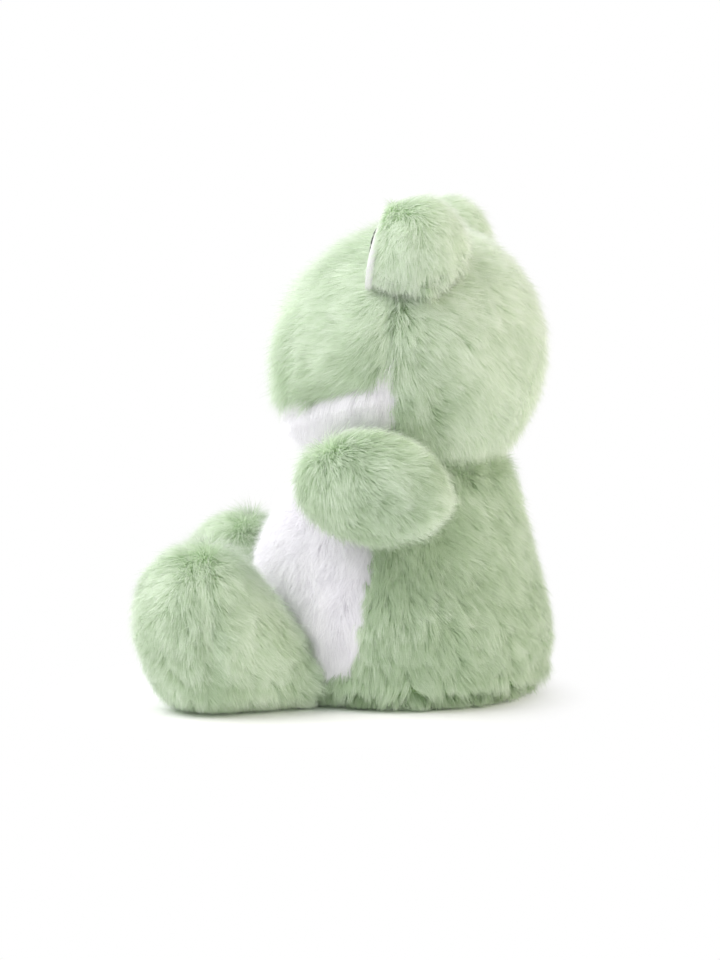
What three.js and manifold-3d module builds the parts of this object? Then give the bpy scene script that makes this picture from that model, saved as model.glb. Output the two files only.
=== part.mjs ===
// A seated plush frog of long-pile fabric, in millimetres. +Z is up, the frog faces -Y and its
// left side is +X. The origin is the centre of the flat seat under the body. Every sewn cover is
// a panel of fabric with its pile, round a stuffing of its own.
import * as THREE from 'three';
import { mergeVertices } from 'three/addons/utils/BufferGeometryUtils.js';
import Module from 'manifold-3d';

const wasm = await Module();
wasm.setup();

// Cloth, seams and cuts
const WALL = 8;
const GAP = 0.3;
const OVERRUN = 300;

// Body: its height to the neck rim, and its reach to the front, back and side
const BODY_HEIGHT = 112;
const BODY_FRONT = 75;
const BODY_BACK = 76;
const BODY_HALF_WIDTH = 73;
// Height, front, back and side of each ring, as shares of the four sizes above
const BODY_RING_SHARES = [
  [0, 0.67, 0.76, 0.78],
  [0.045, 0.8, 0.89, 0.89],
  [0.14, 0.91, 0.98, 0.96],
  [0.27, 0.97, 1, 1],
  [0.42, 1, 0.96, 0.99],
  [0.57, 0.99, 0.9, 0.93],
  [0.7, 0.93, 0.83, 0.86],
  [0.8, 0.83, 0.79, 0.79],
  [0.89, 0.71, 0.76, 0.74],
  [1, 0.64, 0.73, 0.71],
];
const BASE_SEAM_HEIGHT = 8;
// The line of the belly seam, seen from the side: Y as shares of the front reach, then height
// as shares of the body's height
const BELLY_SEAM_SHARES = [
  [-0.11, 1.1],
  [-0.095, 0.8],
  [-0.09, 0.62],
  [-0.11, 0.4],
  [-0.165, 0.23],
  [-0.26, 0.13],
  [-0.42, 0.07],
];
const PELLET_BAG_RADIUS = 40;
const PELLET_BAG_HEIGHT = 26;

// Head: an egg that leans back, turned a little on the body, with its centre over the neck rim
const HEAD_Y = 5;
const HEAD_OVER_RIM = 51.5;
const HEAD_Z = BODY_HEIGHT + HEAD_OVER_RIM;
const HEAD_HALF_WIDTH = 71;
const HEAD_REACH_UP = 69;
const HEAD_REACH_DOWN = 71.5;
const HEAD_DEPTH = 64.5;
const HEAD_LEAN = 44;
const HEAD_TURN = -3.5;
const NECK_BALL = 69;
const NECK_OPENING = 28;
const NECK_NOD = 12;
const SIDE_SEAM_Y = 5.5;
// The line of the smile seam, seen from the side: Y and height from the head's centre, as
// shares of the head's depth
const SMILE_SEAM_SHARES = [
  [-1.4, -0.52],
  [-0.9, -0.4],
  [-0.42, -0.21],
  [-0.08, -0.155],
  [-0.015, -0.085],
  [0.01, 0.04],
  [0.05, 0.18],
];
const NECK_THREAD = 0.9;

// Eye pods on top of the head, with white discs and shanked eyes. The pods' place is a share of
// the head's half width to the side, and of its depth to the back and up.
const POD_SIDE_SHARE = 0.676;
const POD_BACK_SHARE = 0.155;
const POD_UP_SHARE = 0.83;
const POD_X = HEAD_HALF_WIDTH * POD_SIDE_SHARE;
const POD_Y = HEAD_Y + HEAD_DEPTH * POD_BACK_SHARE;
const POD_Z = HEAD_Z + HEAD_DEPTH * POD_UP_SHARE;
const POD_RADIUS = 26.5;
const POD_REACH = 29;
const POD_DROP = 32;
const POD_WALL = 6;
const POD_FRONT = 19;
// The pods' fronts lean back, so the eyes look a little up
const POD_TILT = 12;
const WHITE_RADIUS = 18;
const WHITE_THICKNESS = 3;
const WHITE_DOME = 1;
const WHITE_FLAT_SHARE = 0.75;
const WHITE_DROP = 5;
const EYE_OUT = 3;
const EYE_RISE = 6;
const EYE_RADIUS = 7.5;
const EYE_DOME = 1.2;
const SHANK_RADIUS = 1.6;
const SHANK_LENGTH = 8;
const WASHER_RADIUS = 5.5;
const WASHER_THICKNESS = 1.6;

// Arms: a fat oval paw on a round root, a little under the neck rim
const ARM_X = 75;
const ARM_Y = -6;
const ARM_BELOW_RIM = 5;
const ARM_Z = BODY_HEIGHT - ARM_BELOW_RIM;
const ARM_REACH_IN = 24;
const ARM_REACH_OUT = 21;
const ARM_HALF_LENGTH = 38;
const ARM_HALF_HEIGHT = 26;
const ARM_PITCH = -8;
const ARM_YAW = -10;
const ARM_ROOT = 11;
const ARM_ROOT_X = 57;
const ARM_ROOT_Y = -6;
const ARM_ROOT_BELOW_RIM = 15;
const ARM_ROOT_Z = BODY_HEIGHT - ARM_ROOT_BELOW_RIM;
const ARM_OPENING = 6;
const ARM_WALL = 7;
const ARM_SWING_UP = 20;
const ARM_SWING_DOWN = 28;

// Legs: a fat foot on a leg that narrows to a round root
const FOOT_X = 66;
const FOOT_Y = -85;
const FOOT_Z = 42;
const FOOT_HALF_WIDTH = 37;
const FOOT_FRONT = 37;
const FOOT_BACK = 32;
const FOOT_RISE = 41;
const FOOT_DROP = 43;
const FOOT_PITCH = 9;
const FOOT_YAW = 24;
const LEG_ROOT = 19;
const LEG_ROOT_RISE = 14;
const LEG_ROOT_X = 50;
const LEG_ROOT_Y = -44;
const LEG_ROOT_Z = 15;
const LEG_WALL = 7;
const SOLE_AHEAD = 8;
const LEG_SPLAY_OUT = 20;
const LEG_SPLAY_IN = 6;
// Room between a limb and the body that it swings past
const SWING_ROOM = 2.5;

// Faceting
const BODY_SIDES = 24;
const BODY_RINGS = 11;
const HEAD_SIDES = 24;
const HEAD_RINGS = 12;
const INNER_SIDES = 14;
const INNER_RINGS = 7;
const NECK_SIDES = 20;
const LIMB_SIDES = 14;
const LIMB_RINGS = 8;
const SMALL_SIDES = 16;
const THREAD_SIDES = 6;
const SEAM_POINTS = 12;
const DOME_POINTS = 4;
const SWEEP_STEPS = 2;

// Colours
const GREEN = 0xb7cfa6;
const WHITE = 0xe4e4e8;
const FILL = 0xf2f2ee;
const PELLET_CLOTH = 0xd9d4c8;
const THREAD = 0x9fb890;
const EYE_BLACK = 0x111111;
const WASHER_WHITE = 0xf4f4f4;
const CLOTH_ROUGHNESS = 0.95;
const EYE_ROUGHNESS = 0.15;
const WASHER_ROUGHNESS = 0.5;

const rad = THREE.MathUtils.degToRad;

// Meshes to solids and back
function solidOf(geometry) {
  const bare = geometry.clone();
  bare.deleteAttribute('normal');
  bare.deleteAttribute('uv');
  const merged = mergeVertices(bare);
  return new wasm.Manifold(new wasm.Mesh({
    numProp: 3,
    vertProperties: new Float32Array(merged.attributes.position.array),
    triVerts: new Uint32Array(merged.index.array),
  }));
}

function geometryOf(solid) {
  const mesh = solid.getMesh();
  const geometry = new THREE.BufferGeometry();
  geometry.setAttribute('position', new THREE.BufferAttribute(mesh.vertProperties, 3));
  geometry.setIndex(new THREE.BufferAttribute(mesh.triVerts, 1));
  geometry.computeVertexNormals();
  return geometry;
}

// A ball squeezed to its own reach on each side of each axis, with its poles along Z
function ballGeometry(sides, rings, low, high) {
  const geometry = new THREE.SphereGeometry(1, sides, rings).rotateX(Math.PI / 2);
  const place = geometry.attributes.position;
  const point = new THREE.Vector3();
  for (let i = 0; i < place.count; i += 1) {
    point.fromBufferAttribute(place, i);
    point.x *= point.x < 0 ? low.x : high.x;
    point.y *= point.y < 0 ? low.y : high.y;
    point.z *= point.z < 0 ? low.z : high.z;
    place.setXYZ(i, point.x, point.y, point.z);
  }
  return geometry;
}

function roundBall(radius, sides, place) {
  const reach = new THREE.Vector3(radius, radius, radius);
  return solidOf(ballGeometry(sides, sides / 2, reach, reach).translate(place.x, place.y, place.z));
}

// A faceted ball of a size that a round ball of the radius fits inside, clear of its flats
function roomForBall(radius, sides, place) {
  return roundBall(radius / Math.cos(Math.PI / sides) ** 2, sides, place);
}

function boxFrom(low, high) {
  const size = new THREE.Vector3().subVectors(high, low);
  const middle = new THREE.Vector3().addVectors(low, high).multiplyScalar(0.5);
  const box = new THREE.BoxGeometry(size.x, size.y, size.z);
  return solidOf(box.translate(middle.x, middle.y, middle.z));
}

// Everything above a height, on the left of a plane, or behind one
function above(z) {
  return boxFrom(new THREE.Vector3(-OVERRUN, -OVERRUN, z), new THREE.Vector3(OVERRUN, OVERRUN, OVERRUN));
}

function leftOf(x) {
  return boxFrom(new THREE.Vector3(x, -OVERRUN, -OVERRUN), new THREE.Vector3(OVERRUN, OVERRUN, OVERRUN));
}

function behind(y) {
  return boxFrom(new THREE.Vector3(-OVERRUN, y, -OVERRUN), new THREE.Vector3(OVERRUN, OVERRUN, OVERRUN));
}

// The space in front of a seam line that is drawn in Y and Z, right across the toy. The line
// runs from its first point to its last, and the space goes on ahead of both.
function aheadOfSeam(points, corners) {
  const line = new THREE.SplineCurve(points).getPoints(SEAM_POINTS);
  const shape = new THREE.Shape(line);
  for (const corner of corners) shape.lineTo(corner.x, corner.y);
  shape.closePath();
  const slab = new THREE.ExtrudeGeometry(shape, { depth: 2 * OVERRUN, bevelEnabled: false });
  slab.translate(0, 0, -OVERRUN);
  // The drawing's x and y become Y and Z
  const basis = new THREE.Matrix4().makeBasis(
    new THREE.Vector3(0, 1, 0),
    new THREE.Vector3(0, 0, 1),
    new THREE.Vector3(1, 0, 0),
  );
  return solidOf(slab.applyMatrix4(basis));
}

// A turned shape, drawn as distance from the axis and distance along -Y, out of the face
function turnedForward(profile, sides) {
  const points = profile.map(([radius, out]) => new THREE.Vector2(radius, out));
  return new THREE.LatheGeometry(points, sides).rotateX(Math.PI);
}

// A solid turned about a line through a point
function turned(solid, pivot, axis, degrees) {
  const move = new THREE.Matrix4().makeTranslation(pivot)
    .multiply(new THREE.Matrix4().makeRotationAxis(axis, rad(degrees)))
    .multiply(new THREE.Matrix4().makeTranslation(pivot.clone().negate()));
  return solid.transform(move.elements);
}

// Cuts from a limb all that another solid sweeps through, as seen from the limb, while it swings
function clearOf(limb, other, pivot, axis, from, to) {
  let rest = limb;
  for (let step = 0; step <= SWEEP_STEPS; step += 1) {
    const degrees = THREE.MathUtils.lerp(from, to, step / SWEEP_STEPS);
    rest = rest.subtract(turned(other, pivot, axis, -degrees));
  }
  return rest;
}

function mirrored(solid) {
  return solid.mirror([1, 0, 0]);
}

// Body
function bodyForm(inset, sides, rings) {
  const columns = [0, 1, 2, 3].map((column) => new THREE.SplineCurve(
    BODY_RING_SHARES.map((row, index) => new THREE.Vector2(index, row[column])),
  ));
  const positions = [];
  const foot = Math.max(inset, 0);
  for (let ring = 0; ring < rings; ring += 1) {
    const [height, front, back, side] = columns.map((curve) => curve.getPoint(ring / (rings - 1)).y);
    const z = foot + height * (BODY_HEIGHT - foot);
    for (let turn = 0; turn < sides; turn += 1) {
      const angle = (2 * Math.PI * turn) / sides;
      const reach = Math.sin(angle) < 0 ? front * BODY_FRONT : back * BODY_BACK;
      const x = Math.cos(angle) * (side * BODY_HALF_WIDTH - inset);
      positions.push(x, Math.sin(angle) * (reach - inset), z);
    }
  }
  positions.push(0, 0, foot, 0, 0, BODY_HEIGHT);
  return solidOf(ringGeometry(positions, rings, sides));
}

function bodyOutside() {
  return bodyForm(0, BODY_SIDES, BODY_RINGS);
}

function bodyInside(inset) {
  return bodyForm(inset, INNER_SIDES, INNER_RINGS);
}

// Rings of points from the bottom up, closed by a fan at each end
function ringGeometry(positions, rings, sides) {
  const faces = [];
  const bottom = rings * sides;
  const top = bottom + 1;
  for (let turn = 0; turn < sides; turn += 1) {
    const next = (turn + 1) % sides;
    faces.push(bottom, next, turn);
    faces.push(top, (rings - 1) * sides + turn, (rings - 1) * sides + next);
    for (let ring = 0; ring < rings - 1; ring += 1) {
      const low = ring * sides;
      const high = low + sides;
      faces.push(low + turn, low + next, high + next);
      faces.push(low + turn, high + next, high + turn);
    }
  }
  const geometry = new THREE.BufferGeometry();
  geometry.setAttribute('position', new THREE.Float32BufferAttribute(positions, 3));
  geometry.setIndex(faces);
  return geometry;
}

function aheadOfBellySeam() {
  const line = BELLY_SEAM_SHARES.map(([y, z]) => new THREE.Vector2(y * BODY_FRONT, z * BODY_HEIGHT));
  const low = new THREE.Vector2(-OVERRUN, line[line.length - 1].y);
  const high = new THREE.Vector2(-OVERRUN, line[0].y);
  return aheadOfSeam(line, [low, high]);
}

// Head, in its own place before it is turned
const HEAD_PIVOT = new THREE.Vector3(0, HEAD_Y, HEAD_Z);

function headForm(inset, sides, rings) {
  const side = HEAD_HALF_WIDTH - inset;
  const low = new THREE.Vector3(side, HEAD_REACH_DOWN - inset, HEAD_DEPTH - inset);
  const high = new THREE.Vector3(side, HEAD_REACH_UP - inset, HEAD_DEPTH - inset);
  const egg = ballGeometry(sides, rings, low, high);
  return solidOf(egg.rotateX(rad(HEAD_LEAN)).translate(0, HEAD_Y, HEAD_Z));
}

function headOutside(inset) {
  return headForm(inset, HEAD_SIDES, HEAD_RINGS);
}

function headInside(inset) {
  return headForm(inset, INNER_SIDES, INNER_RINGS);
}

// The outside of the head, with its underside filled out and trimmed to the ball that it turns
// and nods on, and trimmed as high as a nod can carry the body's rim
function headOnNeck() {
  const nodRise = NECK_BALL * Math.sin(rad(NECK_NOD));
  const ball = roundBall(NECK_BALL, NECK_SIDES, HEAD_PIVOT);
  const trimmed = headOutside(0).intersect(ball.add(above(BODY_HEIGHT + nodRise)));
  return trimmed.add(ball.subtract(above(BODY_HEIGHT + 2 * NECK_THREAD)));
}

function neckColumn(radius) {
  const column = new THREE.CylinderGeometry(radius, radius, HEAD_Z, SMALL_SIDES);
  return solidOf(column.rotateX(Math.PI / 2).translate(0, HEAD_Y, HEAD_Z / 2));
}

function headWalls() {
  return headOnNeck().subtract(headInside(WALL)).subtract(neckColumn(NECK_OPENING));
}

function headStuffing() {
  const neck = neckColumn(NECK_OPENING - GAP).intersect(headOnNeck());
  return headInside(WALL + GAP).add(neck);
}

function aboveSmileSeam() {
  const line = SMILE_SEAM_SHARES.map(([y, z]) => (
    new THREE.Vector2(HEAD_Y + y * HEAD_DEPTH, HEAD_Z + z * HEAD_DEPTH)
  ));
  const back = new THREE.Vector2(line[line.length - 1].x, OVERRUN);
  const front = new THREE.Vector2(-OVERRUN, OVERRUN);
  const low = new THREE.Vector2(-OVERRUN, line[0].y);
  return aheadOfSeam(line, [back, front, low]);
}

// Eye pods
function podForm(side, inset) {
  const reach = POD_RADIUS - inset;
  const low = new THREE.Vector3(reach, POD_REACH - inset, POD_DROP - inset);
  const high = new THREE.Vector3(reach, reach, reach);
  return solidOf(ballGeometry(LIMB_SIDES, LIMB_RINGS, low, high).translate(side * POD_X, POD_Y, POD_Z));
}

// Drawn about the middle of the white disc's seat, and leant back with the pod's front
function atWhite(geometry, side) {
  const leaning = geometry.rotateX(rad(-POD_TILT));
  return solidOf(leaning.translate(side * POD_X, POD_Y - POD_FRONT, POD_Z - WHITE_DROP));
}

function atEye(geometry, side) {
  return atWhite(geometry.translate(side * EYE_OUT, 0, EYE_RISE), side);
}

// Everything from the pod's flat front back, or from a depth under it
function behindFront(side, depth) {
  const box = new THREE.BoxGeometry(2 * OVERRUN, OVERRUN, 2 * OVERRUN);
  return atWhite(box.translate(0, OVERRUN / 2 + depth, 0), side);
}

function eyeWhite(side) {
  const disc = atWhite(turnedForward([
    [0, -WHITE_THICKNESS],
    [WHITE_RADIUS, -WHITE_THICKNESS],
    [WHITE_RADIUS, 0],
    [WHITE_RADIUS * WHITE_FLAT_SHARE, WHITE_DOME],
    [0, WHITE_DOME],
  ], SMALL_SIDES), side);
  const shankHole = turnedForward(rodProfile(SHANK_RADIUS + GAP, -SHANK_LENGTH, SHANK_LENGTH), SMALL_SIDES);
  return disc.subtract(atEye(shankHole, side)).subtract(headOutside(-GAP));
}

function rodProfile(radius, from, to) {
  return [[0, from], [radius, from], [radius, to], [0, to]];
}

function pupil(side) {
  const seat = WHITE_DOME + GAP;
  const arc = new THREE.EllipseCurve(0, seat, EYE_RADIUS, EYE_DOME, 0, Math.PI / 2);
  const dome = arc.getPoints(DOME_POINTS).slice(0, -1);
  const profile = [
    [0, seat - SHANK_LENGTH],
    [SHANK_RADIUS, seat - SHANK_LENGTH],
    [SHANK_RADIUS, seat],
    ...dome.map((point) => [point.x, point.y]),
    [0, seat + EYE_DOME],
  ];
  return atEye(turnedForward(profile, SMALL_SIDES), side);
}

function eyeWasher(side) {
  const face = -WHITE_THICKNESS - GAP;
  const bore = SHANK_RADIUS + GAP;
  const profile = [
    [bore, face - WASHER_THICKNESS],
    [WASHER_RADIUS, face - WASHER_THICKNESS],
    [WASHER_RADIUS, face],
    [bore, face],
    [bore, face - WASHER_THICKNESS],
  ];
  return atEye(turnedForward(profile, SMALL_SIDES), side);
}

// The room behind the white disc that the washer and the shank's end take up
function washerRoom(side) {
  const room = turnedForward(rodProfile(WASHER_RADIUS + GAP, -SHANK_LENGTH - GAP, 0), SMALL_SIDES);
  return atEye(room, side);
}

function eyePod(side) {
  const slot = rodProfile(WHITE_RADIUS + GAP, -WHITE_THICKNESS - GAP, POD_RADIUS);
  const opening = turnedForward(slot, SMALL_SIDES);
  return podForm(side, 0)
    .intersect(behindFront(side, 0))
    .subtract(headOutside(-GAP))
    .subtract(podForm(side, POD_WALL))
    .subtract(atWhite(opening, side));
}

function podStuffing(side) {
  const filled = podForm(side, POD_WALL + GAP).intersect(behindFront(side, WHITE_THICKNESS + GAP));
  return filled.subtract(headOutside(-GAP)).subtract(washerRoom(side));
}

// Arms
const ARM_PIVOT = new THREE.Vector3(ARM_ROOT_X, ARM_ROOT_Y, ARM_ROOT_Z);
const ARM_AXIS = new THREE.Vector3(1, 0, 0);

function armPaw(inset) {
  const low = new THREE.Vector3(ARM_REACH_IN - inset, ARM_HALF_LENGTH - inset, ARM_HALF_HEIGHT - inset);
  const high = low.clone().setX(ARM_REACH_OUT - inset);
  const paw = ballGeometry(LIMB_SIDES, LIMB_RINGS, low, high);
  return solidOf(paw.rotateX(rad(ARM_PITCH)).rotateZ(rad(ARM_YAW)).translate(ARM_X, ARM_Y, ARM_Z));
}

// The paw on its round root, with a stalk that reaches from the root out into the paw
function armOuter() {
  const near = bodyInside(-SWING_ROOM).add(headInside(-SWING_ROOM));
  const paw = clearOf(armPaw(0), near, ARM_PIVOT, ARM_AXIS, -ARM_SWING_UP, ARM_SWING_DOWN);
  const stalk = new THREE.CylinderGeometry(ARM_ROOT, ARM_ROOT, ARM_X - ARM_ROOT_X, LIMB_SIDES);
  stalk.rotateZ(Math.PI / 2).translate((ARM_X + ARM_ROOT_X) / 2, ARM_ROOT_Y, ARM_ROOT_Z);
  return paw.add(solidOf(stalk)).add(roundBall(ARM_ROOT, LIMB_SIDES, ARM_PIVOT));
}

function armStuffingForm(inset) {
  const plug = new THREE.CylinderGeometry(ARM_OPENING - inset, ARM_OPENING - inset, ARM_X, LIMB_SIDES);
  plug.rotateZ(Math.PI / 2).translate(ARM_X / 2, ARM_ROOT_Y, ARM_ROOT_Z);
  const neck = solidOf(plug);
  return armPaw(ARM_WALL + inset).add(neck);
}

// Legs
const LEG_PIVOT = new THREE.Vector3(LEG_ROOT_X, LEG_ROOT_Y, LEG_ROOT_Z);
const LEG_AXIS = new THREE.Vector3(0, 0, 1);

function foot(inset) {
  const low = new THREE.Vector3(FOOT_HALF_WIDTH - inset, FOOT_FRONT - inset, FOOT_DROP - inset);
  const high = new THREE.Vector3(FOOT_HALF_WIDTH - inset, FOOT_BACK - inset, FOOT_RISE - inset);
  const ball = ballGeometry(LIMB_SIDES, LIMB_RINGS, low, high);
  return solidOf(ball.rotateX(rad(FOOT_PITCH)).rotateZ(rad(FOOT_YAW)).translate(FOOT_X, FOOT_Y, FOOT_Z));
}

// The root is wider than it is high, and round about the upright line that the leg splays about
function legRoot(inset) {
  const wide = LEG_ROOT - inset;
  const reach = new THREE.Vector3(wide, wide, LEG_ROOT_RISE - inset);
  const root = ballGeometry(LIMB_SIDES, LIMB_SIDES / 2, reach, reach);
  return solidOf(root.translate(LEG_ROOT_X, LEG_ROOT_Y, LEG_ROOT_Z));
}

// The cloth is drawn tight from the foot to the root
function legForm(inset) {
  return wasm.Manifold.hull([foot(inset), legRoot(inset)]).intersect(above(inset));
}

function legOuter() {
  const body = bodyInside(-SWING_ROOM);
  const free = clearOf(legForm(0), body, LEG_PIVOT, LEG_AXIS, -LEG_SPLAY_IN, LEG_SPLAY_OUT);
  return free.add(legRoot(0));
}

// The space ahead of the sole seam, square to the foot
function aheadOfSole(shift) {
  const y = -SOLE_AHEAD + shift;
  const box = new THREE.BoxGeometry(2 * OVERRUN, OVERRUN, 2 * OVERRUN);
  box.translate(0, y - OVERRUN / 2, 0).rotateZ(rad(FOOT_YAW)).translate(FOOT_X, FOOT_Y, FOOT_Z);
  return solidOf(box);
}

// Sockets in the body for the limbs' roots
function limbSockets() {
  const arm = roomForBall(ARM_ROOT + GAP, LIMB_SIDES, ARM_PIVOT);
  const leg = legRoot(LEG_ROOT * (1 - 1 / Math.cos(Math.PI / LIMB_SIDES) ** 2) - GAP);
  const left = arm.add(leg);
  return left.add(mirrored(left));
}

// Assembly
const frog = new THREE.Group();
const head = new THREE.Group();
head.position.set(0, HEAD_Y, 0);
head.rotation.z = rad(HEAD_TURN);
frog.add(head);

function materialOf(name, color, roughness) {
  return new THREE.MeshStandardMaterial({ name, color, roughness, metalness: 0 });
}

const materials = {
  green: materialOf('green_pile', GREEN, CLOTH_ROUGHNESS),
  white: materialOf('white_pile', WHITE, CLOTH_ROUGHNESS),
  felt: materialOf('white_felt', WHITE, CLOTH_ROUGHNESS),
  fill: materialOf('stuffing', FILL, CLOTH_ROUGHNESS),
  pellets: materialOf('pellet_bag_cloth', PELLET_CLOTH, CLOTH_ROUGHNESS),
  thread: materialOf('thread', THREAD, CLOTH_ROUGHNESS),
  eye: materialOf('eye', EYE_BLACK, EYE_ROUGHNESS),
  washer: materialOf('washer', WASHER_WHITE, WASHER_ROUGHNESS),
};

function addPiece(name, geometry, material) {
  const mesh = new THREE.Mesh(geometry, material);
  mesh.name = name;
  frog.add(mesh);
}

// A piece of the head turns with the head's group, which stands over the head's centre
function addHeadPiece(name, solid, material) {
  const mesh = new THREE.Mesh(geometryOf(solid).translate(0, -HEAD_Y, 0), material);
  mesh.name = name;
  head.add(mesh);
}

function addBody() {
  const dish = roomForBall(NECK_BALL + GAP, NECK_SIDES, HEAD_PIVOT);
  const sockets = limbSockets();
  const walls = bodyOutside().subtract(bodyInside(WALL)).subtract(dish).subtract(sockets);
  const upper = walls.intersect(above(BASE_SEAM_HEIGHT + GAP));
  const belly = aheadOfBellySeam();
  const back = upper.subtract(belly.translate([0, GAP, 0]));
  const base = bodyOutside().subtract(above(BASE_SEAM_HEIGHT)).subtract(sockets);
  addPiece('belly_panel', geometryOf(upper.intersect(belly)), materials.white);
  addPiece('back_panel_left', geometryOf(back.intersect(leftOf(GAP / 2))), materials.green);
  addPiece('back_panel_right', geometryOf(back.subtract(leftOf(-GAP / 2))), materials.green);
  addPiece('base_panel', geometryOf(base), materials.green);

  const inside = bodyInside(WALL + GAP).intersect(above(BASE_SEAM_HEIGHT + GAP));
  const filling = inside.subtract(sockets).subtract(dish).subtract(pelletBag(GAP));
  addPiece('pellet_bag', geometryOf(pelletBag(0)), materials.pellets);
  addPiece('body_stuffing', geometryOf(filling), materials.fill);
}

// A pouch of pellets that weights the seat, lying on the base inside the stuffing
function pelletBag(slack) {
  const seat = BASE_SEAM_HEIGHT + GAP;
  const reach = new THREE.Vector3(
    PELLET_BAG_RADIUS + slack,
    PELLET_BAG_RADIUS + slack,
    PELLET_BAG_HEIGHT + slack,
  );
  const mound = solidOf(ballGeometry(LIMB_SIDES, LIMB_RINGS, reach, reach).translate(0, 0, seat));
  return mound.intersect(above(seat - slack));
}

function addNeckSeam() {
  const fromPivot = NECK_BALL + GAP + NECK_THREAD;
  const z = BODY_HEIGHT + GAP + NECK_THREAD;
  const radius = Math.sqrt(fromPivot ** 2 - (HEAD_Z - z) ** 2);
  const ring = new THREE.TorusGeometry(radius, NECK_THREAD, THREAD_SIDES, BODY_SIDES);
  addPiece('neck_seam', ring.translate(0, HEAD_Y, z), materials.thread);
}

function addHead() {
  const walls = headWalls();
  const backHalf = walls.intersect(behind(SIDE_SEAM_Y + GAP));
  const frontHalf = walls.subtract(behind(SIDE_SEAM_Y));
  const smile = aboveSmileSeam();
  addHeadPiece('head_back_left', backHalf.intersect(leftOf(GAP / 2)), materials.green);
  addHeadPiece('head_back_right', backHalf.subtract(leftOf(-GAP / 2)), materials.green);
  addHeadPiece('face_panel', frontHalf.intersect(smile), materials.green);
  addHeadPiece('chin_panel', frontHalf.subtract(smile.translate([0, 0, -GAP])), materials.white);
  addHeadPiece('head_stuffing', headStuffing(), materials.fill);
}

function addEye(side, name) {
  addHeadPiece(`eye_pod_${name}`, eyePod(side), materials.green);
  addHeadPiece(`eye_pod_stuffing_${name}`, podStuffing(side), materials.fill);
  addHeadPiece(`eye_white_${name}`, eyeWhite(side), materials.felt);
  addHeadPiece(`pupil_${name}`, pupil(side), materials.eye);
  addHeadPiece(`eye_washer_${name}`, eyeWasher(side), materials.washer);
}

// The left limbs as solids; the right ones are their mirror images
function addLimbs() {
  const arm = armOuter();
  const leg = legOuter();
  const legWalls = leg.subtract(legForm(LEG_WALL));
  const limbs = [
    ['arm', arm.subtract(armStuffingForm(0)), materials.green],
    ['arm_stuffing', armStuffingForm(GAP).intersect(arm), materials.fill],
    ['leg', legWalls.subtract(aheadOfSole(GAP)), materials.green],
    ['sole', legWalls.intersect(aheadOfSole(0)), materials.green],
    ['leg_stuffing', legForm(LEG_WALL + GAP).intersect(leg), materials.fill],
  ];
  for (const [name, solid, material] of limbs) {
    addPiece(`${name}_left`, geometryOf(solid), material);
    addPiece(`${name}_right`, geometryOf(mirrored(solid)), material);
  }
}

addBody();
addNeckSeam();
addHead();
addEye(1, 'left');
addEye(-1, 'right');
addLimbs();

export default frog;
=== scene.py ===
# %% [markdown]
# # A seated plush frog in long soft pile
#
# A soft toy is sewn from panels of pile fabric, turned right side out and stuffed. What the eye
# sees is hardly ever the cloth: it is the pile that stands on it, combed by hand, a little
# tangled, and lying the way each panel was cut. So this lesson makes the backing cloth first,
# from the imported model's own solids, and then grows the pile on it as real strands.

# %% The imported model
import math

import bmesh
import bpy
import numpy as np
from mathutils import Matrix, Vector, bvhtree, kdtree


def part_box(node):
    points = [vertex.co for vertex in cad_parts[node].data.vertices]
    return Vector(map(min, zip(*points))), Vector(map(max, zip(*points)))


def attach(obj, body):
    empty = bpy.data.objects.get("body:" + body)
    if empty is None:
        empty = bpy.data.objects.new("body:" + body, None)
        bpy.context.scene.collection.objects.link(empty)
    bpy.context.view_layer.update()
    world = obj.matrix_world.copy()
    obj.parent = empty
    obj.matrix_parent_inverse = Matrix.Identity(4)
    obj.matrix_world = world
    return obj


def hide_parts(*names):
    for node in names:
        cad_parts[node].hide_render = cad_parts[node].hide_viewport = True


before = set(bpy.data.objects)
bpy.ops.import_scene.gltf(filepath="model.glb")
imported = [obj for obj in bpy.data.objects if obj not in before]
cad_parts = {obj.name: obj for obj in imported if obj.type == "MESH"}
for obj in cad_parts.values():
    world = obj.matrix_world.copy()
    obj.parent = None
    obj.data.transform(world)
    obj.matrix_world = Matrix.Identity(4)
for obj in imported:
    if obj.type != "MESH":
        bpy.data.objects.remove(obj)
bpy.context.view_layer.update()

# %% [markdown]
# ## Covers
#
# The frog has eight stuffed covers: the body, the head, two eye pods, two arms and two legs. Each
# is sewn from one or more panels, and each panel is a node of the model. The panels' solids are
# as thick as the cloth and its pile together, so the cloth itself lies under their outer face.
# `COVERS` says which panels make a cover, which solids fill it, and how deep the pile is.

# %% The covers and their panels
MM = 0.001
SIDES = {"left": 1, "right": -1}
BODY_PILE_DEPTH = 7.5 * MM
ARM_PILE_DEPTH = 4 * MM
LEG_PILE_DEPTH = 6.5 * MM
POD_PILE_DEPTH = 6 * MM

COVERS = {
    "body": {
        "rides": "torso",
        "panels": ["belly_panel", "back_panel_left", "back_panel_right", "base_panel"],
        "fills": ["body_stuffing", "pellet_bag"],
        "depth": BODY_PILE_DEPTH,
    },
    "head": {
        "rides": "head",
        "panels": ["face_panel", "chin_panel", "head_back_left", "head_back_right"],
        "fills": ["head_stuffing"],
        "depth": BODY_PILE_DEPTH,
    },
}
for side in SIDES:
    COVERS[f"eye_pod_{side}"] = {
        "rides": "head",
        "panels": [f"eye_pod_{side}"],
        "fills": [f"eye_pod_stuffing_{side}", f"eye_white_{side}"],
        "depth": POD_PILE_DEPTH,
    }
    COVERS[f"arm_{side}"] = {
        "rides": f"arm_{side}",
        "panels": [f"arm_{side}"],
        "fills": [f"arm_stuffing_{side}"],
        "depth": ARM_PILE_DEPTH,
    }
    COVERS[f"leg_{side}"] = {
        "rides": f"leg_{side}",
        "panels": [f"leg_{side}", f"sole_{side}"],
        "fills": [f"leg_stuffing_{side}"],
        "depth": LEG_PILE_DEPTH,
    }
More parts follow.
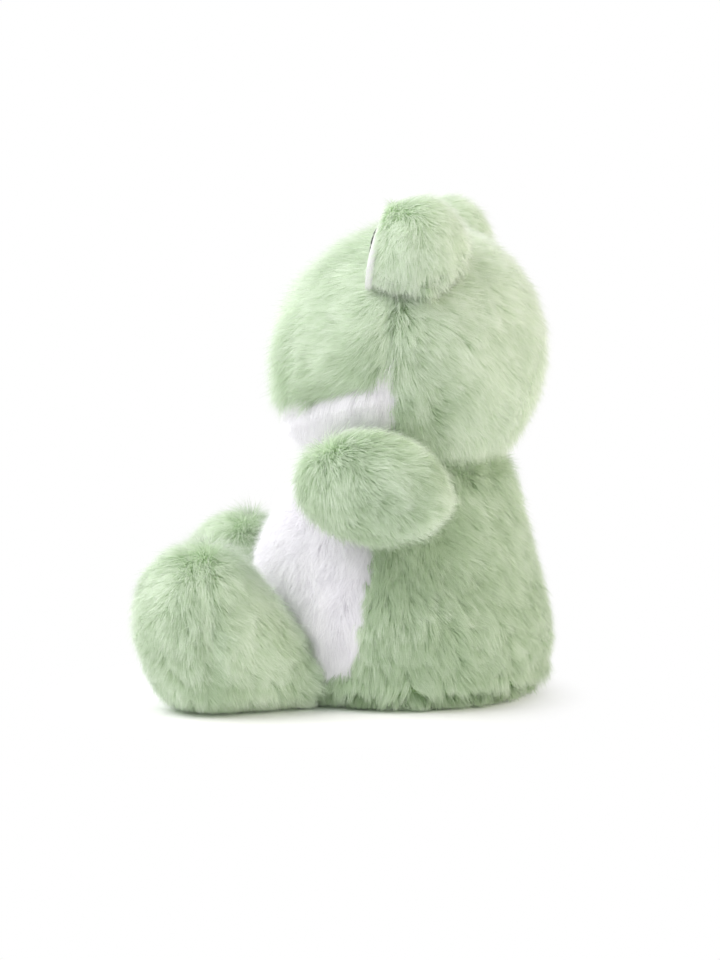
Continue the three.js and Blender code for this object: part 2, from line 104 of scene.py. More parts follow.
print("covers:", len(COVERS), "panels:", sum(len(cover["panels"]) for cover in COVERS.values()))

# %% [markdown]
# ## Camera
#
# The photograph was taken from the frog's left, a touch behind square and slightly above the
# table, with a long lens, so that near and far feet are almost the same size. The camera is
# placed by its two angles and its distance from a point in the middle of the toy.

# %% Camera
CAMERA_AZIMUTH = 96
CAMERA_ELEVATION = 5.8
CAMERA_DISTANCE = 1.4
CAMERA_TARGET = Vector((0, -0.019, 0.1025))
LENS_MM = 108

azimuth = math.radians(CAMERA_AZIMUTH)
elevation = math.radians(CAMERA_ELEVATION)
towards_camera = Vector((
    math.sin(azimuth) * math.cos(elevation),
    -math.cos(azimuth) * math.cos(elevation),
    math.sin(elevation),
))
camera_data = bpy.data.cameras.new("camera")
camera_data.lens = LENS_MM
camera_data.sensor_width = 36
camera = bpy.data.objects.new("camera", camera_data)
camera.location = CAMERA_TARGET + towards_camera * CAMERA_DISTANCE
camera.rotation_euler = (-towards_camera).to_track_quat("-Z", "Y").to_euler()
bpy.context.collection.objects.link(camera)
bpy.context.scene.camera = camera
bpy.context.scene.view_settings.view_transform = "Standard"
print("camera at", [round(value, 3) for value in camera.location])

# %% [markdown]
# ## Colours and shader nodes
#
# Colours are written as sRGB hex, the way a dyer's card or a screen gives them, and one function
# turns them into the linear values that Blender shades with. Another adds a shader node with its
# settings and its links, so that every material below reads as a list of what it is made of.

# %% Colour and node helpers
def linear(hex_colour):
    """The linear RGBA of an sRGB hex colour."""
    parts = [int(hex_colour[i:i + 2], 16) / 255 for i in (1, 3, 5)]
    toned = [c / 12.92 if c <= 0.04045 else ((c + 0.055) / 1.055) ** 2.4 for c in parts]
    return (*toned, 1.0)


def add_node(tree, kind, settings=(), **inputs):
    """Adds a node. An input is a value, or another node's output that is linked to it. It goes
    by its name, with _ for a space, or by its number, as _0, where names repeat."""
    node = tree.nodes.new(kind)
    for name, value in dict(settings).items():
        setattr(node, name, value)
    for name, value in inputs.items():
        key = int(name[1:]) if name[0] == "_" else name.replace("_", " ")
        socket = node.inputs[key]
        if isinstance(value, bpy.types.NodeSocket):
            tree.links.new(value, socket)
        else:
            socket.default_value = value
    return node


def new_material(name):
    """An empty material and its node tree, with only the output in it."""
    material = bpy.data.materials.new(name)
    material.use_nodes = True
    tree = material.node_tree
    tree.nodes.clear()
    output = tree.nodes.new("ShaderNodeOutputMaterial")
    return material, tree, output


def ramp_of(tree, factor, stops):
    """A colour ramp through (place, sRGB hex) stops."""
    node = add_node(tree, "ShaderNodeValToRGB", _0=factor)
    elements = node.color_ramp.elements
    while len(elements) < len(stops):
        elements.new(1.0)
    for element, (place, colour) in zip(elements, stops):
        element.position = place
        element.color = linear(colour)
    return node


print("#808080 is linear", round(linear("#808080")[0], 3))

# %% [markdown]
# ## The pile's material
#
# The pile is polyester fibre, dyed before it was knitted, with a soft gloss. The light that comes
# through the thinning tips and the shade the strands cast on each other at the roots are painted
# in: paler at the tips, deeper and greener at the roots. Each strand carries two numbers in its
# UV map: how far along the strand a point is, and how light this strand is drawn next to its
# neighbours, with the light and shade painted at its place. Both go through colour ramps, so the
# colour follows the strand whatever way it lies. Polyester's IOR is about 1.57.

# %% Pile materials
PILE_UV = "OFBake"
POLYESTER_IOR = 1.57
PILE_TRANSLUCENCE = 0.12


def pile_material(name, dark_stops, light_stops, roughness, sheen):
    """Pile that runs from root to tip through the stops, between a dark and a light strand."""
    material, tree, output = new_material(name)
    uv = add_node(tree, "ShaderNodeUVMap", {"uv_map": PILE_UV})
    parts = add_node(tree, "ShaderNodeSeparateXYZ", Vector=uv.outputs["UV"])
    dark = ramp_of(tree, parts.outputs["Y"], dark_stops)
    light = ramp_of(tree, parts.outputs["Y"], light_stops)
    mixed = add_node(
        tree, "ShaderNodeMix", {"data_type": "RGBA"},
        _0=parts.outputs["X"], _6=dark.outputs["Color"], _7=light.outputs["Color"],
    )
    shader = add_node(
        tree, "ShaderNodeBsdfPrincipled",
        Base_Color=mixed.outputs[2], Roughness=roughness, IOR=POLYESTER_IOR,
        Sheen_Weight=sheen, Sheen_Roughness=0.45, Specular_IOR_Level=0.25,
    )
    through = add_node(tree, "ShaderNodeBsdfTranslucent", Color=mixed.outputs[2])
    behind = add_node(tree, "ShaderNodeNewGeometry").outputs["Backfacing"]
    share = add_node(
        tree, "ShaderNodeMath", {"operation": "MAXIMUM"}, _0=behind, _1=PILE_TRANSLUCENCE,
    )
    both = add_node(
        tree, "ShaderNodeMixShader",
        _0=share.outputs["Value"], _1=shader.outputs["BSDF"], _2=through.outputs["BSDF"],
    )
    tree.links.new(both.outputs["Shader"], output.inputs["Surface"])
    return material


green_pile = pile_material(
    "green_polyester_pile",
    dark_stops=[(0.0, "#93AE80"), (0.45, "#B3C8A4"), (1.0, "#C9D8BF")],
    light_stops=[(0.0, "#B7D0A5"), (0.45, "#D8E7CD"), (1.0, "#F2F7ED")],
    roughness=0.55,
    sheen=0.6,
)
white_pile = pile_material(
    "white_polyester_pile",
    dark_stops=[(0.0, "#DEDCE0"), (0.45, "#EFEDF1"), (1.0, "#F6F5F8")],
    light_stops=[(0.0, "#ECEAEE"), (0.45, "#F9F7FA"), (1.0, "#FEFDFE")],
    roughness=0.55,
    sheen=0.4,
)
print("piles:", green_pile.name, white_pile.name)

# %% [markdown]
# ## The backing cloth
#
# Under the pile is a thin knitted backing. It shows only where strands part, as a darker shade
# between them. A knit's courses are about 0.8 mm apart, which the wave texture below repeats.

# %% Backing cloth material
KNIT_COURSE = 0.8 * MM
KNIT_RELIEF = 0.2 * MM


def knit_material(name, low, high):
    """Knitted backing: fine courses, with the colour of the pile's roots."""
    material, tree, output = new_material(name)
    place = add_node(tree, "ShaderNodeTexCoord").outputs["Object"]
    courses = add_node(
        tree, "ShaderNodeTexWave", {"bands_direction": "Z"},
        Vector=place, Scale=1 / KNIT_COURSE / math.tau, Distortion=2.0, Detail=2.0,
    )
    colour = ramp_of(tree, courses.outputs["Fac"], [(0.2, low), (0.8, high)])
    bump = add_node(
        tree, "ShaderNodeBump", Height=courses.outputs["Fac"], Strength=0.4, Distance=KNIT_RELIEF,
    )
    shader = add_node(
        tree, "ShaderNodeBsdfPrincipled",
        Base_Color=colour.outputs["Color"], Normal=bump.outputs["Normal"],
        Roughness=0.9, IOR=POLYESTER_IOR,
    )
    tree.links.new(shader.outputs["BSDF"], output.inputs["Surface"])
    return material


green_knit = knit_material("green_knitted_backing", "#8CAA75", "#A6C290")
white_knit = knit_material("white_knitted_backing", "#DCDCDE", "#EDEDEF")
print("backings:", green_knit.name, white_knit.name)

# %% [markdown]
# ## From panels to a stuffed cover
#
# Each cover starts as copies of its panels and its filling, joined in one mesh. A voxel remesh
# closes the seams between them, as sewing does, and smoothing rounds off the facets. Then every
# point moves in by the pile's depth, so what is left is the cloth with the stuffing in it.
#
# The cloth lies deeper along the seams, where the thread pulls it in, and less deep under the
# seat, where the frog's weight presses the pile flat, and behind the white discs of the eyes,
# which are sewn tight on it. At the neck, head and body are sewn together, so there the cloth
# moves in from the sides only, and the two stay in touch.
#
# The body and the legs are first drawn tight, as a convex skin round their solids. The solids
# have hollow seats in which the limbs turn, and the cloth of a stuffed toy has no such hollows.

# %% Unit vectors and soft steps
NO_LENGTH = 1e-9


def unit(vectors):
    """The vectors at a length of one."""
    return vectors / np.maximum(np.linalg.norm(vectors, axis=1, keepdims=True), NO_LENGTH)


def ease(values, low, high):
    """0 below low, 1 above high, and smooth between."""
    t = np.clip((values - low) / (high - low), 0, 1)
    return (t * t * (3 - 2 * t))[:, None]


print("soft steps:", ease(np.array([0, 0.25, 0.5, 1]), 0, 1)[:, 0].round(2).tolist())

# %% Meshes from the model's nodes
def mesh_of_nodes(name, nodes, drawn_tight=False):
    """One object that holds copies of the nodes' meshes, or the skin drawn tight round them."""
    joined = bmesh.new()
    for node in nodes:
        joined.from_mesh(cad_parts[node].data)
    if drawn_tight:
        places = [vertex.co.copy() for vertex in joined.verts]
        joined.clear()
        for place in places:
            joined.verts.new(place)
        bmesh.ops.convex_hull(joined, input=joined.verts)
        inside = [vertex for vertex in joined.verts if not vertex.link_faces]
        bmesh.ops.delete(joined, geom=inside, context="VERTS")
    mesh = bpy.data.meshes.new(name)
    joined.to_mesh(mesh)
    joined.free()
    piece = bpy.data.objects.new(name, mesh)
    bpy.context.collection.objects.link(piece)
    return piece


def apply_modifiers(piece):
    """Replaces the piece's mesh by what its modifiers make of it."""
    depsgraph = bpy.context.evaluated_depsgraph_get()
    made = bpy.data.meshes.new_from_object(piece.evaluated_get(depsgraph))
    piece.modifiers.clear()
    old = piece.data
    piece.data = made
    bpy.data.meshes.remove(old)


def keep_outer_shell(mesh):
    """Drops the closed pockets that a remesh leaves between the solids inside."""
    shape = bmesh.new()
    shape.from_mesh(mesh)
    shells, waiting = [], set(shape.verts)
    while waiting:
        shell, front = set(), [waiting.pop()]
        while front:
            vertex = front.pop()
            shell.add(vertex)
            near = [edge.other_vert(vertex) for edge in vertex.link_edges]
            fresh = [other for other in near if other in waiting]
            waiting.difference_update(fresh)
            front.extend(fresh)
        shells.append(shell)
    shells.sort(key=len)
    for shell in shells[:-1]:
        bmesh.ops.delete(shape, geom=list(shell), context="VERTS")
    shape.to_mesh(mesh)
    shape.free()


def remeshed(piece, voxel, smoothing):
    """Closes the piece's mesh over its seams and rounds it."""
    remesh = piece.modifiers.new("remesh", "REMESH")
    remesh.mode = "VOXEL"
    remesh.voxel_size = voxel
    smooth = piece.modifiers.new("smooth", "SMOOTH")
    smooth.factor = 0.5
    smooth.iterations = smoothing
    apply_modifiers(piece)
    keep_outer_shell(piece.data)


def points_and_normals(mesh):
    """The mesh's points and their normals, one row each."""
    count = len(mesh.vertices)
    points = np.empty(count * 3, np.float32)
    normals = np.empty(count * 3, np.float32)
    mesh.vertices.foreach_get("co", points)
    mesh.vertex_normals.foreach_get("vector", normals)
    return points.reshape(-1, 3).astype(float), normals.reshape(-1, 3).astype(float)


# %% Distances from panels and neck
def panel_distances(panels, points):
    """How far each point is from each panel's solid."""
    distances = []
    for panel in panels:
        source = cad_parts[panel].data
        tree = bvhtree.BVHTree.FromPolygons(
            [vertex.co for vertex in source.vertices],
            [polygon.vertices for polygon in source.polygons],
        )
        find = tree.find_nearest
        distances.append([find(point)[3] for point in points.tolist()])
    return np.array(distances)


def about_neck(points):
    """Each point's way out from the neck's middle line, as a unit vector, and how far out it is."""
    low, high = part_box("neck_seam")
    spokes = (points - np.array((low + high) / 2)) * np.array([1, 1, 0])
    return unit(spokes), np.linalg.norm(spokes, axis=1)


def neck_distance(points):
    """How far each point is from the thread ring that joins head and body."""
    low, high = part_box("neck_seam")
    outward = about_neck(points)[1] - (high.x - low.x) / 2
    return np.hypot(outward, points[:, 2] - (high.z + low.z) / 2)


# %% [markdown]
# ## Where the eyes sit
#
# The pods lean back, and so do the eyes on them. The washer behind each eye is flat and round:
# its points spread least along the line that the eye looks along. The pupil's foremost point
# then tells where on that line the white disc has its seat. The pupil sits a little outward and
# up from the disc's middle.

# %% Seats of the discs
EYE_OUT = 3 * MM
EYE_RISE = 6 * MM
EYE_TIP = 2.5 * MM


def eye_frame(side):
    """Middle of the white disc's seat on the pod, and the ways forward, outward and up from it."""
    washer, _ = points_and_normals(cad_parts[f"eye_washer_{side}"].data)
    _, ways = np.linalg.eigh(np.cov((washer - washer.mean(axis=0)).T))
    forward = ways[:, 0] * -np.sign(ways[1, 0])
    upward = np.array([0, 0, 1]) - forward * forward[2]
    upward /= np.linalg.norm(upward)
    outward = np.cross(upward, forward) * SIDES[side]
    pupil, _ = points_and_normals(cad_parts[f"pupil_{side}"].data)
    tip = pupil[np.argmax(pupil @ forward)]
    seat = tip - forward * EYE_TIP - outward * EYE_OUT - upward * EYE_RISE
    return seat, forward, outward, upward


EYES = {side: eye_frame(side) for side in SIDES}
for side, (seat, forward, _, _) in EYES.items():
    print(side, "disc at", seat.round(4).tolist(), "looks along", forward.round(2).tolist())


def from_eye(side, points):
    """Each point's distance in front of the disc's seat, and from the disc's middle line."""
    seat, forward = EYES[side][:2]
    ahead = (points - seat) @ forward
    sideways = points - seat - ahead[:, None] * forward
    return ahead, np.linalg.norm(sideways, axis=1)


# %% Cloth of one cover
CLOTH_VOXEL = 2.5 * MM
CLOTH_SMOOTHING = 10
PRESSED_DEPTH = 2.5 * MM
PRESSED_BELOW = 10 * MM
SEAM_CREASE = 1.8 * MM
SEAM_REACH = 3.5 * MM
SEWN_REACH = 5 * MM
NECK_REACH = 22 * MM
CLOTH_OVER_FLOOR = 1.2 * MM
DISC_BEDDING = 2.5 * MM
POD_FRONT = (-10 * MM, -2 * MM)


def cloth_depth(cover, points, normals):
    """How far the cloth lies under the model's surface at each point."""
    depth = np.full((len(points), 1), cover["depth"])
    if len(cover["panels"]) > 1:
        to_seam = np.sort(panel_distances(cover["panels"], points), axis=0)[1]
        depth = depth + SEAM_CREASE * (1 - ease(to_seam, 0, SEAM_REACH))
    facing_down = np.clip(-normals[:, 2:], 0, 1)
    pressed = facing_down * (1 - ease(points[:, 2], PRESSED_BELOW, 2 * PRESSED_BELOW))
    return depth * (1 - pressed) + PRESSED_DEPTH * pressed


def cloth_of(name, cover):
    """The closed skin of a stuffed cover, under its pile."""
    drawn_tight = name == "body" or name.startswith("leg")
    piece = mesh_of_nodes(f"{name}_cloth", cover["panels"] + cover["fills"], drawn_tight)
    remeshed(piece, CLOTH_VOXEL, CLOTH_SMOOTHING)
    points, normals = points_and_normals(piece.data)
    inward = normals.copy()
    if name in ("body", "head"):
        spokes, _ = about_neck(points)
        inward = spokes + (inward - spokes) * ease(neck_distance(points), SEWN_REACH, NECK_REACH)
    if name.startswith("eye_pod"):
        side = name.removeprefix("eye_pod_")
        forward = EYES[side][1]
        straight = (inward @ forward)[:, None] * forward
        at_front = ease(from_eye(side, points)[0], *POD_FRONT)
        inward = inward - straight * at_front * (1 - DISC_BEDDING / POD_PILE_DEPTH)
    moved = points - inward * cloth_depth(cover, points, normals)
    moved[:, 2] = np.maximum(moved[:, 2], CLOTH_OVER_FLOOR)
    piece.data.vertices.foreach_set("co", moved.astype(np.float32).ravel())
    piece.data.update()
    for panel in cover["panels"]:
        piece.data.materials.append(PILES[panel]["cloth"])
    middles = np.array([polygon.center for polygon in piece.data.polygons])
    nearest = np.argmin(panel_distances(cover["panels"], middles), axis=0)
    piece.data.polygons.foreach_set("material_index", nearest.astype(np.int32))
    for polygon in piece.data.polygons:
        polygon.use_smooth = True
    return piece


# %% [markdown]
# ## Combing
#
# A toy's pile has a lay: it was combed away from the seams, down the sides and back over the
# body. Each cover has a function that gives the direction in which the pile lies at any point.
# These follow the photograph: the head's pile parts at the side seam and runs forward over the
# face and back over the nape. On pods, arms and feet the lay is a fan, given by its angle: down
# and forward at the front end, and turning ever more back towards the other.
#
# The lay could be painted by hand as well, but a few angles and heights are easier to follow,
# and easier to change when the toy is compared with the photograph again.

# %% Helpers for directions
def along(x, y, z, count):
    """The same direction for each of a number of points."""
    return np.tile(np.array([[x, y, z]], float), (count, 1))


def towards(lay, aim, *weights):
    """The lay, brought towards an aim by the product of the weights."""
    step = aim - lay
    for weight in weights:
        step = step * weight
    return lay + step


def heading(degrees):
    """Ways along the toy's side, by angle: 0 is straight back, 90 down and 180 forward."""
    angles = np.radians(degrees)
    return np.stack([np.zeros(len(angles)), np.cos(angles), -np.sin(angles)], axis=1)


def between(low_value, high_value, weight):
    """A value that goes from the first to the second with the weight."""
    return low_value + (high_value - low_value) * weight[:, 0]


DRIFT_WAVES = 14
DRIFT_STRETCH = (0.6, 1.5)
DRIFT_SIZE = 0.6


def drift(points, wavelength, seed):
    """Smooth random value, about -1 to 1, that changes over about a wavelength."""
    random = np.random.default_rng(seed)
    ways = unit(random.normal(size=(DRIFT_WAVES, 3)))
    waves = ways * random.uniform(*DRIFT_STRETCH, (DRIFT_WAVES, 1))
    phases = random.uniform(0, math.tau, DRIFT_WAVES)
    swing = np.sin(points @ (waves * math.tau / wavelength).T + phases).sum(axis=1)
    return swing * math.sqrt(2 / DRIFT_WAVES) * DRIFT_SIZE


print("headings of 0, 90 and 180 degrees:", heading(np.array([0, 90, 180])).round(1).tolist())

# %% Lay of the body's pile
BACK_DART_Y = 10 * MM
BEFORE_DART = (-12 * MM, BACK_DART_Y - 2 * MM)
FAN_BEHIND_DART = (BACK_DART_Y - 5 * MM, BACK_DART_Y + 30 * MM)
BEHIND_DART = (BACK_DART_Y, BACK_DART_Y + 20 * MM)
HEM_HEIGHTS = (5 * MM, 40 * MM)
SHOULDER_HEIGHTS = (70 * MM, 100 * MM)
COLLAR_HEIGHTS = (94 * MM, 106 * MM)


def comb_body(points):
    """Down in front of the dart, down and back behind it, and straight down at the hem."""
    count = len(points)
    y, z = points[:, 1], points[:, 2]
    front_of_dart = along(0, -0.1, -1, count)
    fan = along(0, 0.1, -1, count)
    back = along(0, 0.7, -0.7, count)
    shoulder = along(0, 0.9, -0.4, count)
    down = along(0, 0.3, -0.95, count)
    collar = along(0, 0.2, -0.7, count)
    lay = towards(fan, back, ease(y, *FAN_BEHIND_DART))
    lay = towards(lay, shoulder, ease(z, *SHOULDER_HEIGHTS), ease(y, *BEHIND_DART))
    lay = towards(lay, down, 1 - ease(z, *HEM_HEIGHTS), ease(y, *BEHIND_DART))
    lay = towards(lay, collar, ease(z, *COLLAR_HEIGHTS))
    return towards(lay, front_of_dart, 1 - ease(y, *BEFORE_DART))


# %% Lay of the head's pile
SIDE_SEAM_Y = 5.5 * MM
SEAM_PARTING = (SIDE_SEAM_Y - 5 * MM, SIDE_SEAM_Y + 5 * MM)
NAPE_BY_SEAM = (SIDE_SEAM_Y, SIDE_SEAM_Y + 16 * MM)
CHEEK_BY_SEAM = (-22 * MM, 2 * MM)
MUZZLE_REACH = (-55 * MM, -30 * MM)
MUZZLE_FAN = 90 * MM
NAPE_HEIGHTS = (108 * MM, 140 * MM)
CROWN_HEIGHTS = (180 * MM, 215 * MM)
CHEEK_TOP = (205 * MM, 225 * MM)


def comb_head(points):
    """Forward over the face, back over the crown and nape, and down beside the side seam."""
    count = len(points)
    y, z = points[:, 1], points[:, 2]
    nape = along(0, 0.72, -0.72, count)
    crown = along(0, 0.95, -0.3, count)
    neck = along(0, 0.15, -1, count)
    behind = towards(nape, crown, ease(z, *CROWN_HEIGHTS))
    behind = towards(behind, neck, 1 - ease(z, *NAPE_HEIGHTS))
    behind = towards(behind, neck, 0.5, 1 - ease(y, *NAPE_BY_SEAM))
    cheek = along(0, -0.95, -0.35, count)
    cheek_seam = along(0, -0.3, -0.9, count)
    muzzle = np.stack([points[:, 0] / MUZZLE_FAN, np.zeros(count), np.full(count, -0.8)], axis=1)
    front = towards(cheek, cheek_seam, ease(y, *CHEEK_BY_SEAM), 1 - ease(z, *CHEEK_TOP))
    front = towards(front, muzzle, 1 - ease(y, *MUZZLE_REACH))
    return towards(front, behind, ease(y, *SEAM_PARTING))


# %% Lay on pods, arms and feet
POD_FAN, POD_TOP_FAN, POD_FRINGE = (112, 36), (98, 22), 88
ARM_FAN, ARM_FRINGE = (138, 24), 80
FOOT_FAN, FOOT_HEM = (150, 44), 90
POD_FRINGE_SHARE = 0.7
LIMB_FRINGE_SHARE = 0.5


def comb_pod(points, side):
    """A fan: down over the disc's edge in front, down and back behind, and a fringe below."""
    low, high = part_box(f"eye_pod_{side}")
    middle = (low + high) / 2
    y, z = points[:, 1], points[:, 2]
    turn = between(*POD_FAN, ease(y, middle.y - 20 * MM, middle.y + 20 * MM))
    over_top = between(*POD_TOP_FAN, ease(y, middle.y - 16 * MM, middle.y))
    turn = between(turn, over_top, ease(z, middle.z + 6 * MM, middle.z + 18 * MM))
    low_down = 1 - ease(z, middle.z - 14 * MM, middle.z + 4 * MM)
    return heading(between(turn, POD_FRINGE, POD_FRINGE_SHARE * low_down))


def comb_arm(points, side):
    """A fan: forward and down at the paw's end, then ever more back towards the shoulder."""
    low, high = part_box(f"arm_{side}")
    middle = (low + high) / 2
    y, z = points[:, 1], points[:, 2]
    turn = between(*ARM_FAN, ease(y, middle.y - 46 * MM, middle.y + 6 * MM))
    low_down = 1 - ease(z, middle.z - 24 * MM, middle.z - 6 * MM)
    return heading(between(turn, ARM_FRINGE, LIMB_FRINGE_SHARE * low_down))


def comb_foot(points, normals):
    """A fan: forward and down at the toe, and down and back at the heel; down on the sole."""
    y, z = points[:, 1], points[:, 2]
    turn = between(*FOOT_FAN, ease(y, -122 * MM, -62 * MM))
    low_down = 1 - ease(z, 4 * MM, 22 * MM)
    lay = heading(between(turn, FOOT_HEM, LIMB_FRINGE_SHARE * low_down))
    sole = along(0, -0.1, -0.8, len(points))
    return towards(lay, sole, ease(-normals[:, 1], 0.5, 0.9))


# %% [markdown]
# ## Growing the pile
#
# Strands do not stand evenly: they cling together in tufts. So each panel gets a set of tufts,
# and each strand leans towards the nearest one more and more towards its tip. A strand starts
# steep at the cloth and curves over until it nearly lies along it, and where the cloth turns
# away under it, as at the end of a paw, it turns along. It is a flat tapering ribbon, as thin
# as the render can still show, and it borrows part of its shading from the cloth under it,
# which is what makes real pile look soft rather than wiry.
#
# Blender's own hair would be lighter to compute, but it is no mesh. Ribbons of real geometry
# look the same wherever the model is opened.

# %% Roots and strand shapes
LEAST_TURN = 0.1


def sample_skin(mesh, density, random):
    """Random points on a mesh with their normals, at a density per square metre."""
    mesh.calc_loop_triangles()
    triangles = np.empty(len(mesh.loop_triangles) * 3, np.int32)
    mesh.loop_triangles.foreach_get("vertices", triangles)
    triangles = triangles.reshape(-1, 3)
    points, normals = points_and_normals(mesh)
    a, b, c = (points[triangles[:, k]] for k in range(3))
    areas = np.linalg.norm(np.cross(b - a, c - a), axis=1) / 2
    count = int(areas.sum() * density)
    picked = random.choice(len(triangles), count, p=areas / areas.sum())
    u, v = random.random(count), random.random(count)
    over = u + v > 1
    u[over], v[over] = 1 - u[over], 1 - v[over]
    weights = np.stack([1 - u - v, u, v], axis=1)
    chosen = triangles[picked]
    spots = (points[chosen] * weights[:, :, None]).sum(axis=1)
    facing = unit((normals[chosen] * weights[:, :, None]).sum(axis=1))
    return spots, facing


def carried(ways, old, new):
    """The ways, turned as the old normals turn into the new ones."""
    halfway = old + new
    share = (ways * halfway).sum(axis=1) / np.maximum(1 + (old * new).sum(axis=1), LEAST_TURN)
    return ways - halfway * share[:, None] + 2 * new * (ways * old).sum(axis=1)[:, None]


def curved_strands(roots, normals, turn, lay, lengths, start_lean, end_lean, segments):
    """Points along each strand, which starts near upright and curves over along the lay. Where
    the cloth turns away under a strand, the strand turns with it."""
    points = [roots]
    for step in range(segments):
        share = (step + 0.5) / segments
        lean = (start_lean + (end_lean - start_lean) * share)[:, None]
        upright = unit(normals + turn * share)
        direction = upright * np.cos(lean) + carried(lay, normals, upright) * np.sin(lean)
        points.append(points[-1] + direction * (lengths / segments)[:, None])
    return np.stack(points, axis=1)


def nearest_of(anchors, points):
    """For each point, the index of the nearest anchor."""
    tree = kdtree.KDTree(len(anchors))
    for index, place in enumerate(anchors.tolist()):
        tree.insert(place, index)
    tree.balance()
    find = tree.find
    return np.fromiter((find(point)[1] for point in points.tolist()), int, len(points))


# %% Corners of the ribbons
FLOOR_CLEARANCE = 0.4 * MM
ROLL = 0.6
TAPER = 0.75
TAPER_POWER = 1.5


def ribbon_corners(paths, normals, widths, random):
    """A tapering ribbon's corners along each path, and the way each ribbon faces."""
    count, segments = paths.shape[0], paths.shape[1] - 1
    tangents = unit((paths[:, -1] - paths[:, 0]).reshape(-1, 3))
    roll = random.uniform(-ROLL, ROLL, count)[:, None]
    across = unit(np.cross(tangents, normals))
    facing = unit(np.cross(across, tangents))
    facing = np.where((facing * normals).sum(axis=1, keepdims=True) < 0, -facing, facing)
    across, facing = (
        across * np.cos(roll) + facing * np.sin(roll),
        facing * np.cos(roll) - across * np.sin(roll),
    )
    taper = np.array([1 - TAPER * (step / segments) ** TAPER_POWER for step in range(segments)])
    half = (widths[:, None] * taper[None, :] / 2)[:, :, None] * across[:, None, :]
    left = paths[:, :-1] - half
    right = paths[:, :-1] + half
    body = np.stack([left, right], axis=2).reshape(count, segments * 2, 3)
    return np.concatenate([body, paths[:, -1:]], axis=1), facing


def add_ribbon_faces(mesh, count, segments):
    """Quads along each ribbon and a triangle at its tip. Returns each face corner's vertex."""
    quads = []
    for step in range(segments - 1):
        low = 2 * step
        quads.append([low, low + 1, low + 3, low + 2])
    tip = [2 * segments - 2, 2 * segments - 1, 2 * segments]
    loop_pattern = np.array([index for quad in quads for index in quad] + tip, np.int32)
    start_pattern = np.array([4 * step for step in range(segments)], np.int32)
    offsets = np.arange(count, dtype=np.int32)[:, None]
    loops = (offsets * (segments * 2 + 1) + loop_pattern[None, :]).ravel()
    starts = (offsets * len(loop_pattern) + start_pattern[None, :]).ravel()
    mesh.loops.add(len(loops))
    mesh.loops.foreach_set("vertex_index", loops)
    mesh.polygons.add(len(starts))
    mesh.polygons.foreach_set("loop_start", starts)
    mesh.update()
    return loops


# %% Ribbons from strands
UV_MARGIN = 0.03
UV_SPAN = 0.94
UV_HALF_WIDTH = 0.004
SOFTNESS = 0.8
SOFT_WHEN_LYING = (0.1, 0.6)


def strand_mesh(name, paths, normals, widths, shades, random):
    """Tapering ribbons along the paths, in one mesh, with UVs that hold shade and place."""
    count, segments = paths.shape[0], paths.shape[1] - 1
    vertices, facing = ribbon_corners(paths, normals, widths, random)
    per_strand = vertices.shape[1]
    mesh = bpy.data.meshes.new(name)
    mesh.vertices.add(count * per_strand)
    mesh.vertices.foreach_set("co", vertices.astype(np.float32).ravel())
    loops = add_ribbon_faces(mesh, count, segments)

    places = np.repeat(np.arange(segments) / segments, 2).tolist() + [1.0]
    sideways = np.array([-1, 1] * segments + [0])
    u = shades[:, None] * UV_SPAN + UV_MARGIN + sideways[None, :] * UV_HALF_WIDTH
    v = np.tile(np.array(places)[None, :] * UV_SPAN + UV_MARGIN, (count, 1))
    uv_of_vertex = np.stack([u, v], axis=2).reshape(-1, 2)
    layer = mesh.uv_layers.new(name=PILE_UV)
    layer.data.foreach_set("uv", uv_of_vertex[loops].astype(np.float32).ravel())

    lying = SOFTNESS * ease((facing * normals).sum(axis=1), *SOFT_WHEN_LYING)
    soft = unit(normals * lying + facing * (1 - lying))
    shading = np.repeat(soft, per_strand, axis=0)
    attribute = mesh.attributes.new("custom_normal", "FLOAT_VECTOR", "POINT")
    attribute.data.foreach_set("vector", shading.astype(np.float32).ravel())
    return mesh


# %% [markdown]
# ## How each panel's pile differs
#
# The green pile is long and a little shaggy, in tufts some 2 mm apart and clumps some 5 mm
# apart. The white belly and chin are cut shorter and brushed smooth. Under the seat the pile is
# pressed flat by the toy's weight. Real pile fibre is about 0.03 mm thick, too fine to show, so
# a ribbon stands for a lock of a few fibres.
#
# - `lean` is a strand's angle from upright, in degrees, at its root and at its tip.
# - `cling` is how far strands gather to their tuft, and `clump` tufts to their clump.
# - `spread` is how uneven the strands' lightness is; `painted_lightness` is painted light and
#   shade, how much lighter all the panel's strands are drawn, or below 0 how much darker.
# - These four have two values: where the pile is brushed, and near the floor, where it mats and,
#   for painted light, lies in shade.
# - `wrap` is how far strands follow the cloth that turns away under them.
# - `aside` is the way that they fall where the combing points straight into the cloth.
# - `stray` and `wander` turn the lay, from strand to strand and from patch to patch.

# %% Pile settings
# Painted light and shade, panel by panel: the lightness offsets draw the pods and the tops of the
# feet lighter, and the body, the face and the feet near the floor darker.
LONG_PILE = {
    "length": 12.5 * MM, "lean": (30, 84), "width": 0.21 * MM, "density": 7e6, "segments": 2,
    "cling": (0.45, 0.62), "clump": (0.35, 0.7), "stray": 0.24, "wander": 0.45, "wrap": 0,
    "spread": (0.24, 0.24), "painted_lightness": (-0.05, -0.05), "aside": (1, 0, 0),
    "material": green_pile, "cloth": green_knit, "slot": "green_pile",
}
SHORT_WHITE = {
    **LONG_PILE, "length": 9.5 * MM, "lean": (45, 86), "width": 0.2 * MM,
    "cling": (0.15, 0.2), "clump": (0.12, 0.25), "stray": 0.2, "wander": 0.45,
    "material": white_pile, "cloth": white_knit, "slot": "white_pile",
}
CHIN_PILE = {
    **SHORT_WHITE, "length": 12 * MM, "cling": (0.35, 0.35), "clump": (0.3, 0.3), "wander": 0.2,
}
